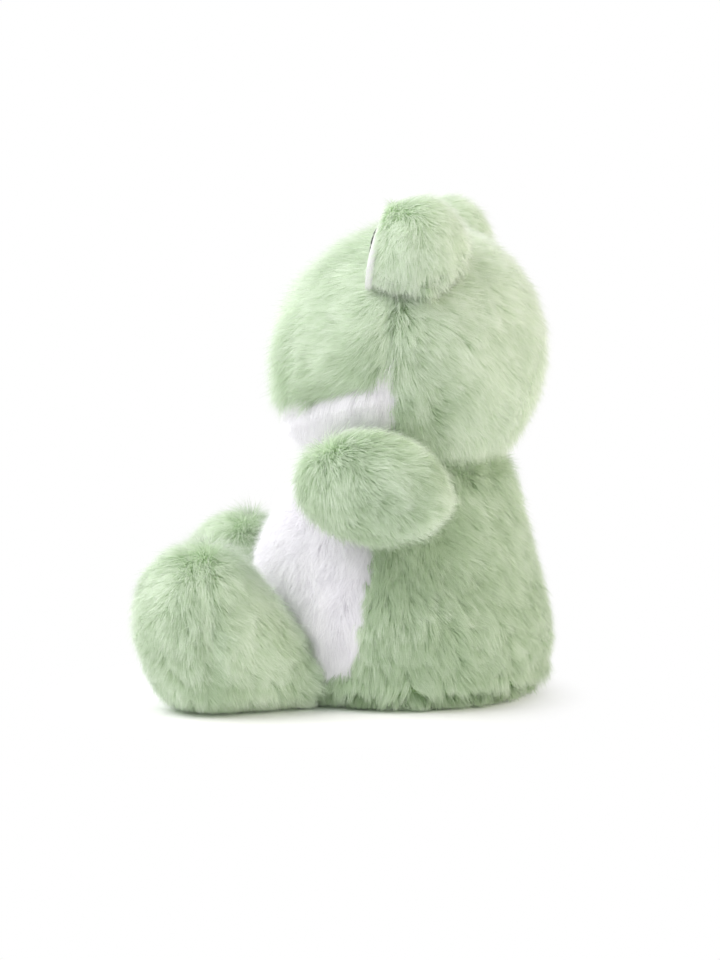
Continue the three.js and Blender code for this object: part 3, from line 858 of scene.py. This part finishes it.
FACE_PILE = {
    **LONG_PILE, "cling": (0.25, 0.25), "clump": (0.2, 0.2),
    "spread": (0.06, 0.06), "painted_lightness": (-0.28, -0.28),
}
BODY_PILE = {**LONG_PILE, "cling": (0.5, 0.62), "clump": (0.4, 0.7), "painted_lightness": (-0.28, -0.28)}
PRESSED_PILE = {**LONG_PILE, "length": 8 * MM, "lean": (55, 88), "density": 2e6}
POD_PILE = {
    **LONG_PILE, "length": 9.5 * MM, "lean": (40, 86), "cling": (0.2, 0.2), "clump": (0.15, 0.15),
    "spread": (0.1, 0.1), "painted_lightness": (0.12, 0.12), "wrap": 0.35, "aside": (0, 1, 0),
}
ARM_PILE = {
    **LONG_PILE, "length": 10 * MM, "cling": (0.3, 0.35), "clump": (0.15, 0.3),
    "spread": (0.13, 0.13), "painted_lightness": (-0.05, -0.05), "wrap": 0.5, "aside": (0, 1, 0),
}
LEG_PILE = {
    **LONG_PILE, "length": 12 * MM, "cling": (0.3, 0.62), "clump": (0.2, 0.75),
    "spread": (0.12, 0.28), "painted_lightness": (0.32, -0.05), "wrap": 0.7, "aside": (0, -1, 0),
}
SOLE_PILE = {**LEG_PILE, "length": 9.5 * MM}

PILES = {panel: BODY_PILE for panel in COVERS["body"]["panels"]}
PILES.update({panel: LONG_PILE for panel in COVERS["head"]["panels"]})
PILES.update(belly_panel=SHORT_WHITE, base_panel=PRESSED_PILE)
PILES.update(chin_panel=CHIN_PILE, face_panel=FACE_PILE)
for side in SIDES:
    PILES[f"eye_pod_{side}"] = POD_PILE
    PILES[f"arm_{side}"] = ARM_PILE
    PILES[f"leg_{side}"] = LEG_PILE
    PILES[f"sole_{side}"] = SOLE_PILE

print("panels with pile:", len(PILES))

# %% [markdown]
# ## Combed, and laid on the cloth
#
# Pile can't point into its own cloth. So every combing direction is laid flat along the cloth
# first, and turned a little from patch to patch, as handling leaves it. Pile also mats near the
# floor, gathers in tufts, and is cut short over the white discs so that the eyes show.

# %% The lay on a panel
WANDER_PATCH = 16 * MM
WANDER_SEED = 7


def lay_on(panel, points, normals):
    """The way a panel's pile is combed at each point."""
    side = "left" if panel.endswith("left") else "right"
    if panel.startswith("eye_pod"):
        return comb_pod(points, side)
    if panel.startswith("arm"):
        return comb_arm(points, side)
    if panel.startswith(("leg", "sole")):
        return comb_foot(points, normals)
    if panel == "chin_panel":
        return along(0, -0.12, -1, len(points))
    if panel == "belly_panel":
        return along(0, 0.12, -1, len(points))
    if panel == "base_panel":
        return unit(points * np.array([1, 1, 0]))
    return comb_head(points) if panel in COVERS["head"]["panels"] else comb_body(points)


def settled(panel, points, normals, wander):
    """The lay flat along the cloth, turned a little from patch to patch, and how firmly it lies.
    Where the combing points straight into the cloth, the pile falls aside instead."""
    lay = lay_on(panel, points, normals)
    sideways = np.cross(normals, lay)
    turned = lay + sideways * (drift(points, WANDER_PATCH, WANDER_SEED)[:, None] * wander)
    flat = turned - normals * (turned * normals).sum(axis=1, keepdims=True)
    missing = np.clip(1 - np.linalg.norm(flat, axis=1, keepdims=True), 0, 1)
    facing_down = np.clip(-normals[:, 2:], 0, 1)
    aside = along(*PILES[panel]["aside"], len(points))
    falls_aside = aside - normals * (aside * normals).sum(axis=1, keepdims=True)
    flat = flat + falls_aside * missing * (1 - facing_down)
    firmness = np.clip(np.linalg.norm(flat, axis=1), 0, 1)
    return unit(flat), firmness


# %% What changes from place to place
MATTED_BELOW = 8 * MM
BRUSHED_ABOVE = 70 * MM
GATHER_POWER = 1.3
TURN_SHARE = 0.85
POD_TRIM = 0.45
TRIM_AHEAD = (-16 * MM, -5 * MM)
TRIM_ABOVE = (-2 * MM, 10 * MM)


def by_height(points, values):
    """From the second value, near the floor, to the first, higher up. Pile mats near the floor and
    is brushed higher up, and the painted lightness goes from painted shade near the floor to
    painted light higher up.
    """
    brushed, matted = values
    return matted + (brushed - matted) * ease(points[:, 2], MATTED_BELOW, BRUSHED_ABOVE)


def gathering(points, pull, segments):
    """How strongly strands gather, from nothing at the root to the whole pull at the tip."""
    along_strand = np.linspace(0, 1, segments + 1)[None, :, None]
    return by_height(points, pull)[:, :, None] * along_strand ** GATHER_POWER


def turn_under(panel, roots, normals, skin, skin_normals):
    """How far the cloth turns between each strand's root and the place over which it ends."""
    pile = PILES[panel]
    if not pile["wrap"]:
        return np.zeros((len(roots), 3))
    lay, _ = settled(panel, roots, normals, pile["wander"])
    ends = roots + lay * pile["length"] * TURN_SHARE
    turn = skin_normals[nearest_of(skin, ends)] - normals
    return turn * pile["wrap"] * ease(roots[:, 2], MATTED_BELOW, 3 * MATTED_BELOW)


def trimmed(panel, roots):
    """Each strand's share of its full length: the pods' pile is cut short over the discs."""
    if not panel.startswith("eye_pod"):
        return np.ones(len(roots))
    side = panel.removeprefix("eye_pod_")
    ahead, _ = from_eye(side, roots)
    seat_height = EYES[side][0][2]
    above = ease(roots[:, 2], seat_height + TRIM_ABOVE[0], seat_height + TRIM_ABOVE[1])
    return 1 - POD_TRIM * (above * ease(ahead, *TRIM_AHEAD))[:, 0]


# %% Middle strands of the tufts
DEGREE = math.pi / 180
LEAN_LIMITS = (0.1, 1.5)
GUIDE_UNEVEN = 0.12
GUIDE_LEAN_UNEVEN = 0.1


def leans_of(pile, uneven, count, random):
    """Each strand's angle from upright at its root and at its tip, in radians."""
    start = np.full(count, pile["lean"][0] * DEGREE)
    end = pile["lean"][1] * DEGREE + uneven * random.normal(size=count)
    return start, np.clip(end, *LEAN_LIMITS)


def guide_strands(panel, roots, normals, turn, random):
    """One middle strand for each root, as the pile of this panel would lie there."""
    pile = PILES[panel]
    count = len(roots)
    lay, _ = settled(panel, roots, normals, pile["wander"])
    uneven = 1 + GUIDE_UNEVEN * random.normal(size=count)
    lengths = pile["length"] * trimmed(panel, roots) * uneven
    start, lean = leans_of(pile, GUIDE_LEAN_UNEVEN, count, random)
    return curved_strands(roots, normals, turn, lay, lengths, start, lean, pile["segments"])


# %% [markdown]
# ## Where two panels meet
#
# Long pile hides its seam: it hangs over it, and one colour ends where its strands end. A tuft
# is never cut in two, so the line between green and white is soft and a little ragged. No pile
# grows where a disc covers the cloth, or deep in the neck, where nothing could see it.

# %% Which panel a tuft belongs to
RAGGED_EDGE = {"head": 1.7 * MM, "body": 0.5 * MM}
OVERHANG_SHARE = 0.5


def panel_of(name, cover, points, normals, random):
    """Which panel each tuft belongs to. Pile hangs over a seam, so the panel is the one where the
    tuft ends, and the line between two panels is a little ragged."""
    panels = cover["panels"]
    under = np.argmin(panel_distances(panels, points), axis=0)
    ends = points.copy()
    for index, panel in enumerate(panels):
        own = under == index
        lay, _ = settled(panel, points[own], normals[own], wander=0)
        ends[own] += lay * PILES[panel]["length"] * OVERHANG_SHARE
    ends += RAGGED_EDGE.get(name, 0) * random.normal(size=points.shape)
    return np.argmin(panel_distances(panels, ends), axis=0)


# %% Where no pile grows, and the fringe over the neck
DISC_RADIUS = 17.8 * MM
NECK_INSIDE = 38 * MM
NECK_HEIGHT = 12 * MM
FRINGE_ROOM = 4 * MM
FRINGE_SHARES = (0.3, 1)


def away_from_eye(panel, roots):
    """False where the white disc of an eye covers the cloth."""
    if not panel.startswith("eye_pod"):
        return np.ones(len(roots), bool)
    ahead, off_axis = from_eye(panel.removeprefix("eye_pod_"), roots)
    return (ahead < -DISC_BEDDING) | (off_axis > DISC_RADIUS)


def outside_neck(name, roots):
    """False where the head and the body hide each other, inside the neck seam."""
    low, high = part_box("neck_seam")
    inside = about_neck(roots)[1] < NECK_INSIDE
    if name == "body":
        return ~(inside & (roots[:, 2] > low.z - NECK_HEIGHT))
    if name == "head":
        return ~(inside & (roots[:, 2] < high.z + NECK_HEIGHT))
    return np.ones(len(roots), bool)


def hung_over_neck(paths, random):
    """The head's lowest pile hangs outside the body's, not into the seam."""
    low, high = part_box("neck_seam")
    cloth = (high.x - low.x) / 2 - BODY_PILE_DEPTH
    for station in range(1, paths.shape[1]):
        place = paths[:, station]
        spokes, reach = about_neck(place)
        room = cloth + FRINGE_ROOM * random.uniform(*FRINGE_SHARES, len(place))
        near_seam = 1 - ease(place[:, 2], high.z, high.z + NECK_HEIGHT)
        push = np.maximum(room - reach, 0)[:, None] * near_seam
        paths[:, station] = place + spokes * push
    return paths


# %% [markdown]
# ## Uneven like dyed pile, with painted light and shade
#
# Dyed pile is never one colour: tufts differ, and patches are brushed one way or the other.
# Light and shade are painted on it as well: it is drawn lighter higher up and where it stands
# loose, lightest on the crown, which is also the most even, and darker in the arms' painted
# shadow on the body.

# %% How light each strand is
# Painted light: strands are drawn lighter higher up and lightest on the crown, where light falls
# from above, and lighter where the pile stands loose, against the shade of its strands.
SHADE_LOW, SHADE_HIGH = 0.36, 0.62
SHADED_BELOW = 150 * MM
PAINTED_LOOSE_LIGHT = 0.3
PAINTED_ARM_SHADOW = 0.35
PAINTED_CROWN_LIGHT = 0.4
SHADE_PATCHY = 0.22
SHADE_PATCH = 22 * MM
SHADE_SEED = 23
CROWN_STARTS, CROWN_FULL = 150 * MM, 200 * MM
CROWN_EVENNESS = 0.5
# Painted shadow of the arms on the body: how far behind, how stretched and how far it reaches.
ARM_SHADOW_BEHIND = 12 * MM
ARM_SHADOW_STRETCH = 1.4
ARM_SHADOW_REACH = (8 * MM, 42 * MM)


def arm_shadow_share(roots):
    """Painted shadow of the arms: 1 at the lower edge of an arm where it rests on the body, a
    little behind its middle, down to 0 away from the arms.
    """
    low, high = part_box("arm_left")
    rest = np.array([(low.y + high.y) / 2 + ARM_SHADOW_BEHIND, low.z])
    away = np.linalg.norm((roots[:, 1:] - rest) / np.array([ARM_SHADOW_STRETCH, 1]), axis=1)
    return 1 - ease(away, *ARM_SHADOW_REACH)[:, 0]


def shades_of(panel, roots, firmness, tone, random):
    """How light each strand is, from 0 to 1: painted light higher up, on the crown and where it
    lies loose, a painted shadow under the arms, and uneven from patch to patch, tuft to tuft
    and strand to strand."""
    pile = PILES[panel]
    painted_top_light = ease(roots[:, 2], 0, SHADED_BELOW)[:, 0]
    crown = ease(roots[:, 2], CROWN_STARTS, CROWN_FULL)[:, 0]
    # Painted light: lighter higher up and where the pile stands loose.
    shade = SHADE_LOW + (SHADE_HIGH - SHADE_LOW) * painted_top_light + PAINTED_LOOSE_LIGHT * (1 - firmness)
    # Painted light and shade of the whole panel.
    shade = shade + by_height(roots, pile["painted_lightness"])[:, 0]
    # Painted shadow: the body's pile is drawn darker under the arms.
    if panel in COVERS["body"]["panels"]:
        shade = shade - PAINTED_ARM_SHADOW * arm_shadow_share(roots)
    # Painted light: the crown is drawn lightest.
    if panel in COVERS["head"]["panels"] or panel.startswith("eye_pod"):
        shade = shade + PAINTED_CROWN_LIGHT * crown
    spread = by_height(roots, pile["spread"])[:, 0]
    uneven = tone + spread * random.normal(size=len(roots))
    patchy = SHADE_PATCHY * drift(roots, SHADE_PATCH, SHADE_SEED)
    shade = shade + patchy + uneven * (1 - CROWN_EVENNESS * crown)
    return np.clip(shade, 0, 1)


# %% One band of pile
LOOSE_STRAY = 0.9
STRAND_LENGTHS = (0.7, 1.15)
STRAND_WIDTHS = (0.7, 1.2)
STRAND_LEAN_UNEVEN = 0.2
FLOOR_UNEVEN = 1.2 * MM


def pile_object(name, panel, roots, normals, turn, guides, tone, random):
    """One band of a panel's pile. Each strand is drawn towards the middle strand of its tuft."""
    pile = PILES[panel]
    count, segments = len(roots), pile["segments"]
    lay, firmness = settled(panel, roots, normals, pile["wander"])
    loose = pile["stray"] + LOOSE_STRAY * (1 - firmness[:, None])
    lay = unit(lay + loose * random.normal(size=(count, 3)))
    lengths = pile["length"] * trimmed(panel, roots) * random.uniform(*STRAND_LENGTHS, count)
    start, lean = leans_of(pile, STRAND_LEAN_UNEVEN, count, random)
    paths = curved_strands(roots, normals, turn, lay, lengths, start, lean, segments)
    paths = paths + (guides - paths) * gathering(roots, pile["cling"], segments)
    if panel in COVERS["head"]["panels"]:
        paths = hung_over_neck(paths, random)
    lowest = FLOOR_CLEARANCE + random.uniform(0, FLOOR_UNEVEN, (count, 1))
    paths[:, :, 2] = np.maximum(paths[:, :, 2], lowest)
    shades = shades_of(panel, roots, firmness, tone, random)
    widths = pile["width"] * random.uniform(*STRAND_WIDTHS, count)
    mesh = strand_mesh(name, paths, normals, widths, shades, random)
    mesh.materials.append(pile["material"])
    piece = bpy.data.objects.new(name, mesh)
    bpy.context.collection.objects.link(piece)
    return piece


# %% [markdown]
# ## From tufts to a panel's pile
#
# A million strands are too many for one object, so each panel's pile is cut into bands, from the
# bottom up. Roots, tufts and clumps are drawn at random on the whole cover first, so that the
# pile runs on over the seams, and then each tuft goes to the panel that it belongs to.

# %% Pile of one cover
TUFT_SEED = 41
TUFT_DENSITY = 0.2e6
CLUMP_DENSITY = 0.04e6
TUFT_TONE = 0.15
CLUMP_TONE = 0.08
BAND_STRANDS = 65000


def grow_pile(name, cover, cloth):
    """The pile of each panel of a cover, as {panel: objects}."""
    random = np.random.default_rng(TUFT_SEED + sorted(COVERS).index(name))
    densest = max(PILES[panel]["density"] for panel in cover["panels"])
    roots, normals = sample_skin(cloth.data, densest, random)
    tufts, tuft_normals = sample_skin(cloth.data, TUFT_DENSITY, random)
    clumps, clump_normals = sample_skin(cloth.data, CLUMP_DENSITY, random)
    tuft_panels = panel_of(name, cover, tufts, tuft_normals, random)
    tuft_of = nearest_of(tufts, roots)
    clump_of = nearest_of(clumps, tufts)
    tuft_tone = TUFT_TONE * random.normal(size=len(tufts))
    clump_tone = CLUMP_TONE * random.normal(size=len(clumps))
    tone = (tuft_tone + clump_tone[clump_of])[tuft_of]
    grown = {}
    for index, panel in enumerate(cover["panels"]):
        pile = PILES[panel]
        clump_turn = turn_under(panel, clumps, clump_normals, tufts, tuft_normals)
        turn = turn_under(panel, tufts, tuft_normals, tufts, tuft_normals)
        middle_strands = guide_strands(panel, clumps, clump_normals, clump_turn, random)
        guides = guide_strands(panel, tufts, tuft_normals, turn, random)
        pull = gathering(tufts, pile["clump"], pile["segments"])
        guides += (middle_strands[clump_of] - guides) * pull
        thinned = random.random(len(roots)) < pile["density"] / densest
        keep = (tuft_panels[tuft_of] == index) & thinned
        keep &= away_from_eye(panel, roots) & outside_neck(name, roots)
        order = np.flatnonzero(keep)
        order = order[np.argsort(tufts[tuft_of[order], 2], kind="stable")]
        bands = np.array_split(order, math.ceil(len(order) / BAND_STRANDS))
        grown[panel] = [
            pile_object(f"{panel}_pile_{number + 1}", panel, roots[band], normals[band],
                        turn[tuft_of[band]], guides[tuft_of[band]], tone[band], random)
            for number, band in enumerate(bands)
        ]
    return grown


strand_faces = 0
for name, cover in COVERS.items():
    cloth = cloth_of(name, cover)
    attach(cloth, cover["rides"])
    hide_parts(*cover["panels"])
    for panel, bands in grow_pile(name, cover, cloth).items():
        for band in bands:
            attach(band, cover["rides"])
            strand_faces += len(band.data.polygons)
print("pile faces:", strand_faces)

# %% [markdown]
# ## Eyes
#
# Each eye is a domed disc of white felt with a shanked eye of polished black acrylic through it.
# Both are turned about the line that the eye looks along, and take their sizes from the model.
# Acrylic's IOR is 1.49, and a polished eye is nearly a mirror where a lamp stands in it. Felt is
# matted fibre with no gloss, and its nap is about half a millimetre across.

# %% Plastics and matted fibre
TOOL_GRAIN = 2.5 * MM
TOOL_UNEVEN = 0.2
NAP_RELIEF = 0.3 * MM


def plain_material(name, colour, roughness, ior):
    """A moulded or polished plastic with a faint unevenness from its tool."""
    material, tree, output = new_material(name)
    place = add_node(tree, "ShaderNodeTexCoord").outputs["Object"]
    uneven = add_node(tree, "ShaderNodeTexNoise", Vector=place, Scale=1 / TOOL_GRAIN, Detail=2.0)
    gloss = add_node(
        tree, "ShaderNodeMapRange", Value=uneven.outputs["Fac"],
        To_Min=roughness * (1 - TOOL_UNEVEN), To_Max=roughness * (1 + TOOL_UNEVEN),
    )
    shader = add_node(
        tree, "ShaderNodeBsdfPrincipled",
        Base_Color=linear(colour), Roughness=gloss.outputs["Result"], IOR=ior,
    )
    tree.links.new(shader.outputs["BSDF"], output.inputs["Surface"])
    return material


def fibre_material(name, low, high, nap_size):
    """Matted fibre or cloth nap: fine noise in colour and height, of the nap's real size."""
    material, tree, output = new_material(name)
    place = add_node(tree, "ShaderNodeTexCoord").outputs["Object"]
    nap = add_node(tree, "ShaderNodeTexNoise", Vector=place, Scale=1 / nap_size, Detail=4.0)
    colour = ramp_of(tree, nap.outputs["Fac"], [(0.3, low), (0.7, high)])
    bump = add_node(
        tree, "ShaderNodeBump", Height=nap.outputs["Fac"], Strength=0.5, Distance=NAP_RELIEF,
    )
    shader = add_node(
        tree, "ShaderNodeBsdfPrincipled",
        Base_Color=colour.outputs["Color"], Normal=bump.outputs["Normal"],
        Roughness=0.9, IOR=POLYESTER_IOR,
    )
    tree.links.new(shader.outputs["BSDF"], output.inputs["Surface"])
    return material


black_eye = plain_material("black_polished_acrylic", "#0B0B0C", 0.08, 1.49)
white_felt = fibre_material("white_needled_felt", "#DCDCDC", "#F2F2F0", 0.55 * MM)
print("eye materials:", black_eye.name, white_felt.name)

# %% Turned shapes
TURNED_SIDES = 64
MIDDLE_RADIUS = 1e-6


def turned_piece(name, profile, middle, forward, across):
    """A closed shape turned about a line. The profile is (radius, distance forward) pairs that
    start at the back."""
    up = np.cross(forward, across)
    shape = bmesh.new()
    rings = []
    for radius, out in profile:
        ring = []
        for turn in range(TURNED_SIDES):
            angle = math.tau * turn / TURNED_SIDES
            spoke = across * math.cos(angle) + up * math.sin(angle)
            reach = max(radius, MIDDLE_RADIUS)
            ring.append(shape.verts.new(middle + forward * out + spoke * reach))
        rings.append(ring)
    for low, high in zip(rings, rings[1:]):
        for turn in range(TURNED_SIDES):
            after = (turn + 1) % TURNED_SIDES
            shape.faces.new((low[turn], low[after], high[after], high[turn]))
    shape.faces.new(rings[0][::-1])
    shape.faces.new(rings[-1])
    for face in shape.faces:
        face.smooth = True
    mesh = bpy.data.meshes.new(name)
    shape.to_mesh(mesh)
    shape.free()
    piece = bpy.data.objects.new(name, mesh)
    bpy.context.collection.objects.link(piece)
    return piece


# %% Discs and eyes
DISC_THICKNESS = 3 * MM
DISC_EDGE = 0.8 * MM
DISC_DOME = 1 * MM
DISC_RINGS = (1.0, 0.97, 0.92, 0.85, 0.7, 0.5, 0.25, 0.0)
EYE_RADIUS = 7.5 * MM
EYE_DOME = 1.2 * MM
EYE_SEAT = EYE_TIP - EYE_DOME
EYE_STEPS = 16
SHANK_RADIUS = 1.6 * MM
SHANK_END = -6.7 * MM

back_edge = [
    (DISC_RADIUS - DISC_EDGE, -DISC_THICKNESS), (DISC_RADIUS, -DISC_THICKNESS + DISC_EDGE),
]
front_face = [(DISC_RADIUS * share, DISC_DOME * (1 - share ** 6)) for share in DISC_RINGS]
dome = []
for step in range(EYE_STEPS + 1):
    angle = step * math.pi / 2 / EYE_STEPS
    dome.append((EYE_RADIUS * math.cos(angle), EYE_SEAT + EYE_DOME * math.sin(angle)))
for side in SIDES:
    seat, forward, outward, upward = EYES[side]
    disc = turned_piece(f"felt_disc_{side}", back_edge + front_face, seat, forward, outward)
    disc.data.materials.append(white_felt)
    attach(disc, "head")
    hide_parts(f"eye_white_{side}")
    shank = [(SHANK_RADIUS, SHANK_END), (SHANK_RADIUS, EYE_SEAT)]
    eye_middle = seat + outward * EYE_OUT + upward * EYE_RISE
    eye = turned_piece(f"domed_eye_{side}", shank + dome, eye_middle, forward, outward)
    eye.data.materials.append(black_eye)
    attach(eye, "head")
    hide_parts(f"pupil_{side}")
print("discs", round(2 * DISC_RADIUS, 4), "m across, eyes", round(2 * EYE_RADIUS, 4))

# %% [markdown]
# ## Inside, and the neck's thread
#
# The filling is hidden, and still made: matted polyester fibre in every cover, a pouch of undyed
# cloth for the pellets, moulded washers behind the eyes. At the neck a stitched thread joins the
# two cloths, so it lies as deep in the pile as they do. Fibrefill lies in soft wads of about
# 6 mm, the pouch's weave repeats about every millimetre and the thread's twist every 0.4 mm.
# Nylon's IOR is 1.53, and it leaves its mould with a dull gloss.

# %% Materials inside
fibrefill = fibre_material("white_polyester_fibrefill", "#E4E4DE", "#F8F8F4", 6.25 * MM)
pouch_cloth = fibre_material("undyed_woven_pouch_cloth", "#C9C1B0", "#E0D9CA", 1.1 * MM)
green_thread = fibre_material("green_sewing_thread", "#8FA97E", "#AFC79D", 0.4 * MM)
washer_plastic = plain_material("natural_white_moulded_nylon", "#F0F0EC", 0.45, 1.53)
inside = [fibrefill, pouch_cloth, green_thread, washer_plastic]
print("materials inside:", [material.name for material in inside])

# %% Fillings, pouch and washers
FILL_VOXEL = 4 * MM
FILL_SMOOTHING = 6
FILL_SLACK = 0.8 * MM
LUMP_HEIGHT = 0.5 * MM
LUMP_SIZE = 14 * MM
LUMP_SEED = 5
POUCH_SLACK = 0.2 * MM


def softened(name, node, slack):
    """A filling with its facets rounded off, a little slack in its cover."""
    piece = mesh_of_nodes(name, [node])
    remeshed(piece, FILL_VOXEL, FILL_SMOOTHING)
    points, normals = points_and_normals(piece.data)
    lumps = LUMP_HEIGHT * drift(points, LUMP_SIZE, LUMP_SEED)[:, None]
    moved = points - normals * (slack + lumps)
    moved[:, 2] = np.maximum(moved[:, 2], 2 * CLOTH_OVER_FLOOR)
    piece.data.vertices.foreach_set("co", moved.astype(np.float32).ravel())
    for polygon in piece.data.polygons:
        polygon.use_smooth = True
    return piece


fills = {"body_stuffing": "torso", "head_stuffing": "head"}
for side in SIDES:
    fills[f"eye_pod_stuffing_{side}"] = "head"
    fills[f"arm_stuffing_{side}"] = f"arm_{side}"
    fills[f"leg_stuffing_{side}"] = f"leg_{side}"
for node, body in fills.items():
    filling = softened(f"{node}_fibre", node, FILL_SLACK)
    filling.data.materials.append(fibrefill)
    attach(filling, body)
    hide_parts(node)

pouch = softened("pellet_pouch", "pellet_bag", POUCH_SLACK)
pouch.data.materials.append(pouch_cloth)
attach(pouch, "torso")
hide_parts("pellet_bag")

for side in SIDES:
    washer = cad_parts[f"eye_washer_{side}"]
    washer.data.materials.clear()
    washer.data.materials.append(washer_plastic)
print("filled:", len(fills), "covers")

# %% Neck thread
THREAD_RADIUS = 0.5 * MM
THREAD_DEPTH = 1.5 * MM
STITCH_LENGTH = 3 * MM
STITCH_DIP = 0.5 * MM
POINTS_PER_STITCH = 8

low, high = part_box("neck_seam")
ring_middle = np.array((low + high) / 2)
ring_radius = (high.x - low.x) / 2 - BODY_PILE_DEPTH - THREAD_DEPTH
stitches = round(math.tau * ring_radius / STITCH_LENGTH)
turns = np.linspace(0, math.tau, stitches * POINTS_PER_STITCH, endpoint=False)
reach = ring_radius - STITCH_DIP * np.cos(turns * stitches)
thread_path = ring_middle + np.stack(
    [np.cos(turns) * reach, np.sin(turns) * reach, np.zeros(len(turns))], axis=1,
)
thread_curve = bpy.data.curves.new("neck_thread", "CURVE")
thread_curve.dimensions = "3D"
thread_curve.bevel_depth = THREAD_RADIUS
thread_curve.bevel_resolution = 2
spline = thread_curve.splines.new("POLY")
spline.points.add(len(thread_path) - 1)
spline.points.foreach_set("co", np.column_stack([thread_path, np.ones(len(thread_path))]).ravel())
spline.use_cyclic_u = True
thread_curve.materials.append(green_thread)
neck_thread = bpy.data.objects.new("neck_thread", thread_curve)
bpy.context.collection.objects.link(neck_thread)
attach(neck_thread, "neck")
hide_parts("neck_seam")
print("stitches round the neck:", stitches)

# %% [markdown]
# ## Paper, lamps and sky
#
# The photograph was taken on seamless white paper: the floor has no far edge, and the frog's
# shadow on it is faint and soft. Far from the frog the floor below shows plain white to the
# camera, as the paper's sweep does, and near the frog it is matt paper that takes the shadow.
# Light comes from all round, with a large softbox above the face and a warm one low behind.

# %% Paper floor
FLOOR_HALF = 4.0
FOOTPRINT_MIDDLE = (0.02, -0.038, 0)
SWEEP_STARTS = 0.085
SWEEP_ENDS = 0.135

floor_mesh = bpy.data.meshes.new("floor")
floor_corners = [(-1, -1), (1, -1), (1, 1), (-1, 1)]
corner_places = [(x * FLOOR_HALF, y * FLOOR_HALF, 0) for x, y in floor_corners]
floor_mesh.from_pydata(corner_places, [], [(0, 1, 2, 3)])
floor = bpy.data.objects.new("floor", floor_mesh)
bpy.context.collection.objects.link(floor)
paper, tree, output = new_material("white_studio_paper")
place = add_node(tree, "ShaderNodeTexCoord").outputs["Object"]
away = add_node(
    tree, "ShaderNodeVectorMath", {"operation": "DISTANCE"}, _0=place, _1=FOOTPRINT_MIDDLE,
)
far = add_node(
    tree, "ShaderNodeMapRange", {"interpolation_type": "SMOOTHSTEP"},
    Value=away.outputs["Value"], From_Min=SWEEP_STARTS, From_Max=SWEEP_ENDS,
)
seen = add_node(tree, "ShaderNodeLightPath").outputs["Is Camera Ray"]
sweep = add_node(
    tree, "ShaderNodeMath", {"operation": "MULTIPLY"}, _0=far.outputs["Result"], _1=seen,
)
matt = add_node(tree, "ShaderNodeBsdfPrincipled", Base_Color=linear("#FAFAFA"), Roughness=0.9)
bright = add_node(tree, "ShaderNodeEmission", Color=linear("#FFFFFF"), Strength=1.0)
shader = add_node(
    tree, "ShaderNodeMixShader",
    _0=sweep.outputs["Value"], _1=matt.outputs["BSDF"], _2=bright.outputs["Emission"],
)
tree.links.new(shader.outputs["Shader"], output.inputs["Surface"])
floor_mesh.materials.append(paper)
print("paper turns to plain white from", SWEEP_STARTS, "to", SWEEP_ENDS, "m from the frog's middle")

# %% Lamps and sky
MIDDLE = (0, 0, 0.12)


def area_lamp(name, place, aim, size, power, colour):
    """A round softbox at a place, turned towards a point."""
    data = bpy.data.lights.new(name, "AREA")
    data.shape = "DISK"
    data.size = size
    data.energy = power
    data.color = linear(colour)[:3]
    lamp = bpy.data.objects.new(name, data)
    lamp.location = place
    lamp.rotation_euler = (Vector(aim) - Vector(place)).to_track_quat("-Z", "Y").to_euler()
    bpy.context.collection.objects.link(lamp)


area_lamp("overhead_softbox", (0.35, -1.0, 1.3), MIDDLE, 1.2, 20, "#FFFFFF")
area_lamp("warm_softbox", (0.2, 1.2, 0.6), MIDDLE, 0.8, 7, "#FFEFE2")

world = bpy.data.worlds.new("studio")
bpy.context.scene.world = world
world.use_nodes = True
tree = world.node_tree
tree.nodes.clear()
backdrop = add_node(tree, "ShaderNodeBackground", Color=linear("#FFFFFF"), Strength=1.0)
fill = add_node(tree, "ShaderNodeBackground", Color=linear("#FBFCFF"), Strength=0.68)
ray = add_node(tree, "ShaderNodeLightPath")
mix = add_node(
    tree, "ShaderNodeMixShader",
    _0=ray.outputs["Is Camera Ray"],
    _1=fill.outputs["Background"], _2=backdrop.outputs["Background"],
)
world_output = tree.nodes.new("ShaderNodeOutputWorld")
tree.links.new(mix.outputs["Shader"], world_output.inputs["Surface"])
print("lamps:", [light.name for light in bpy.data.lights])
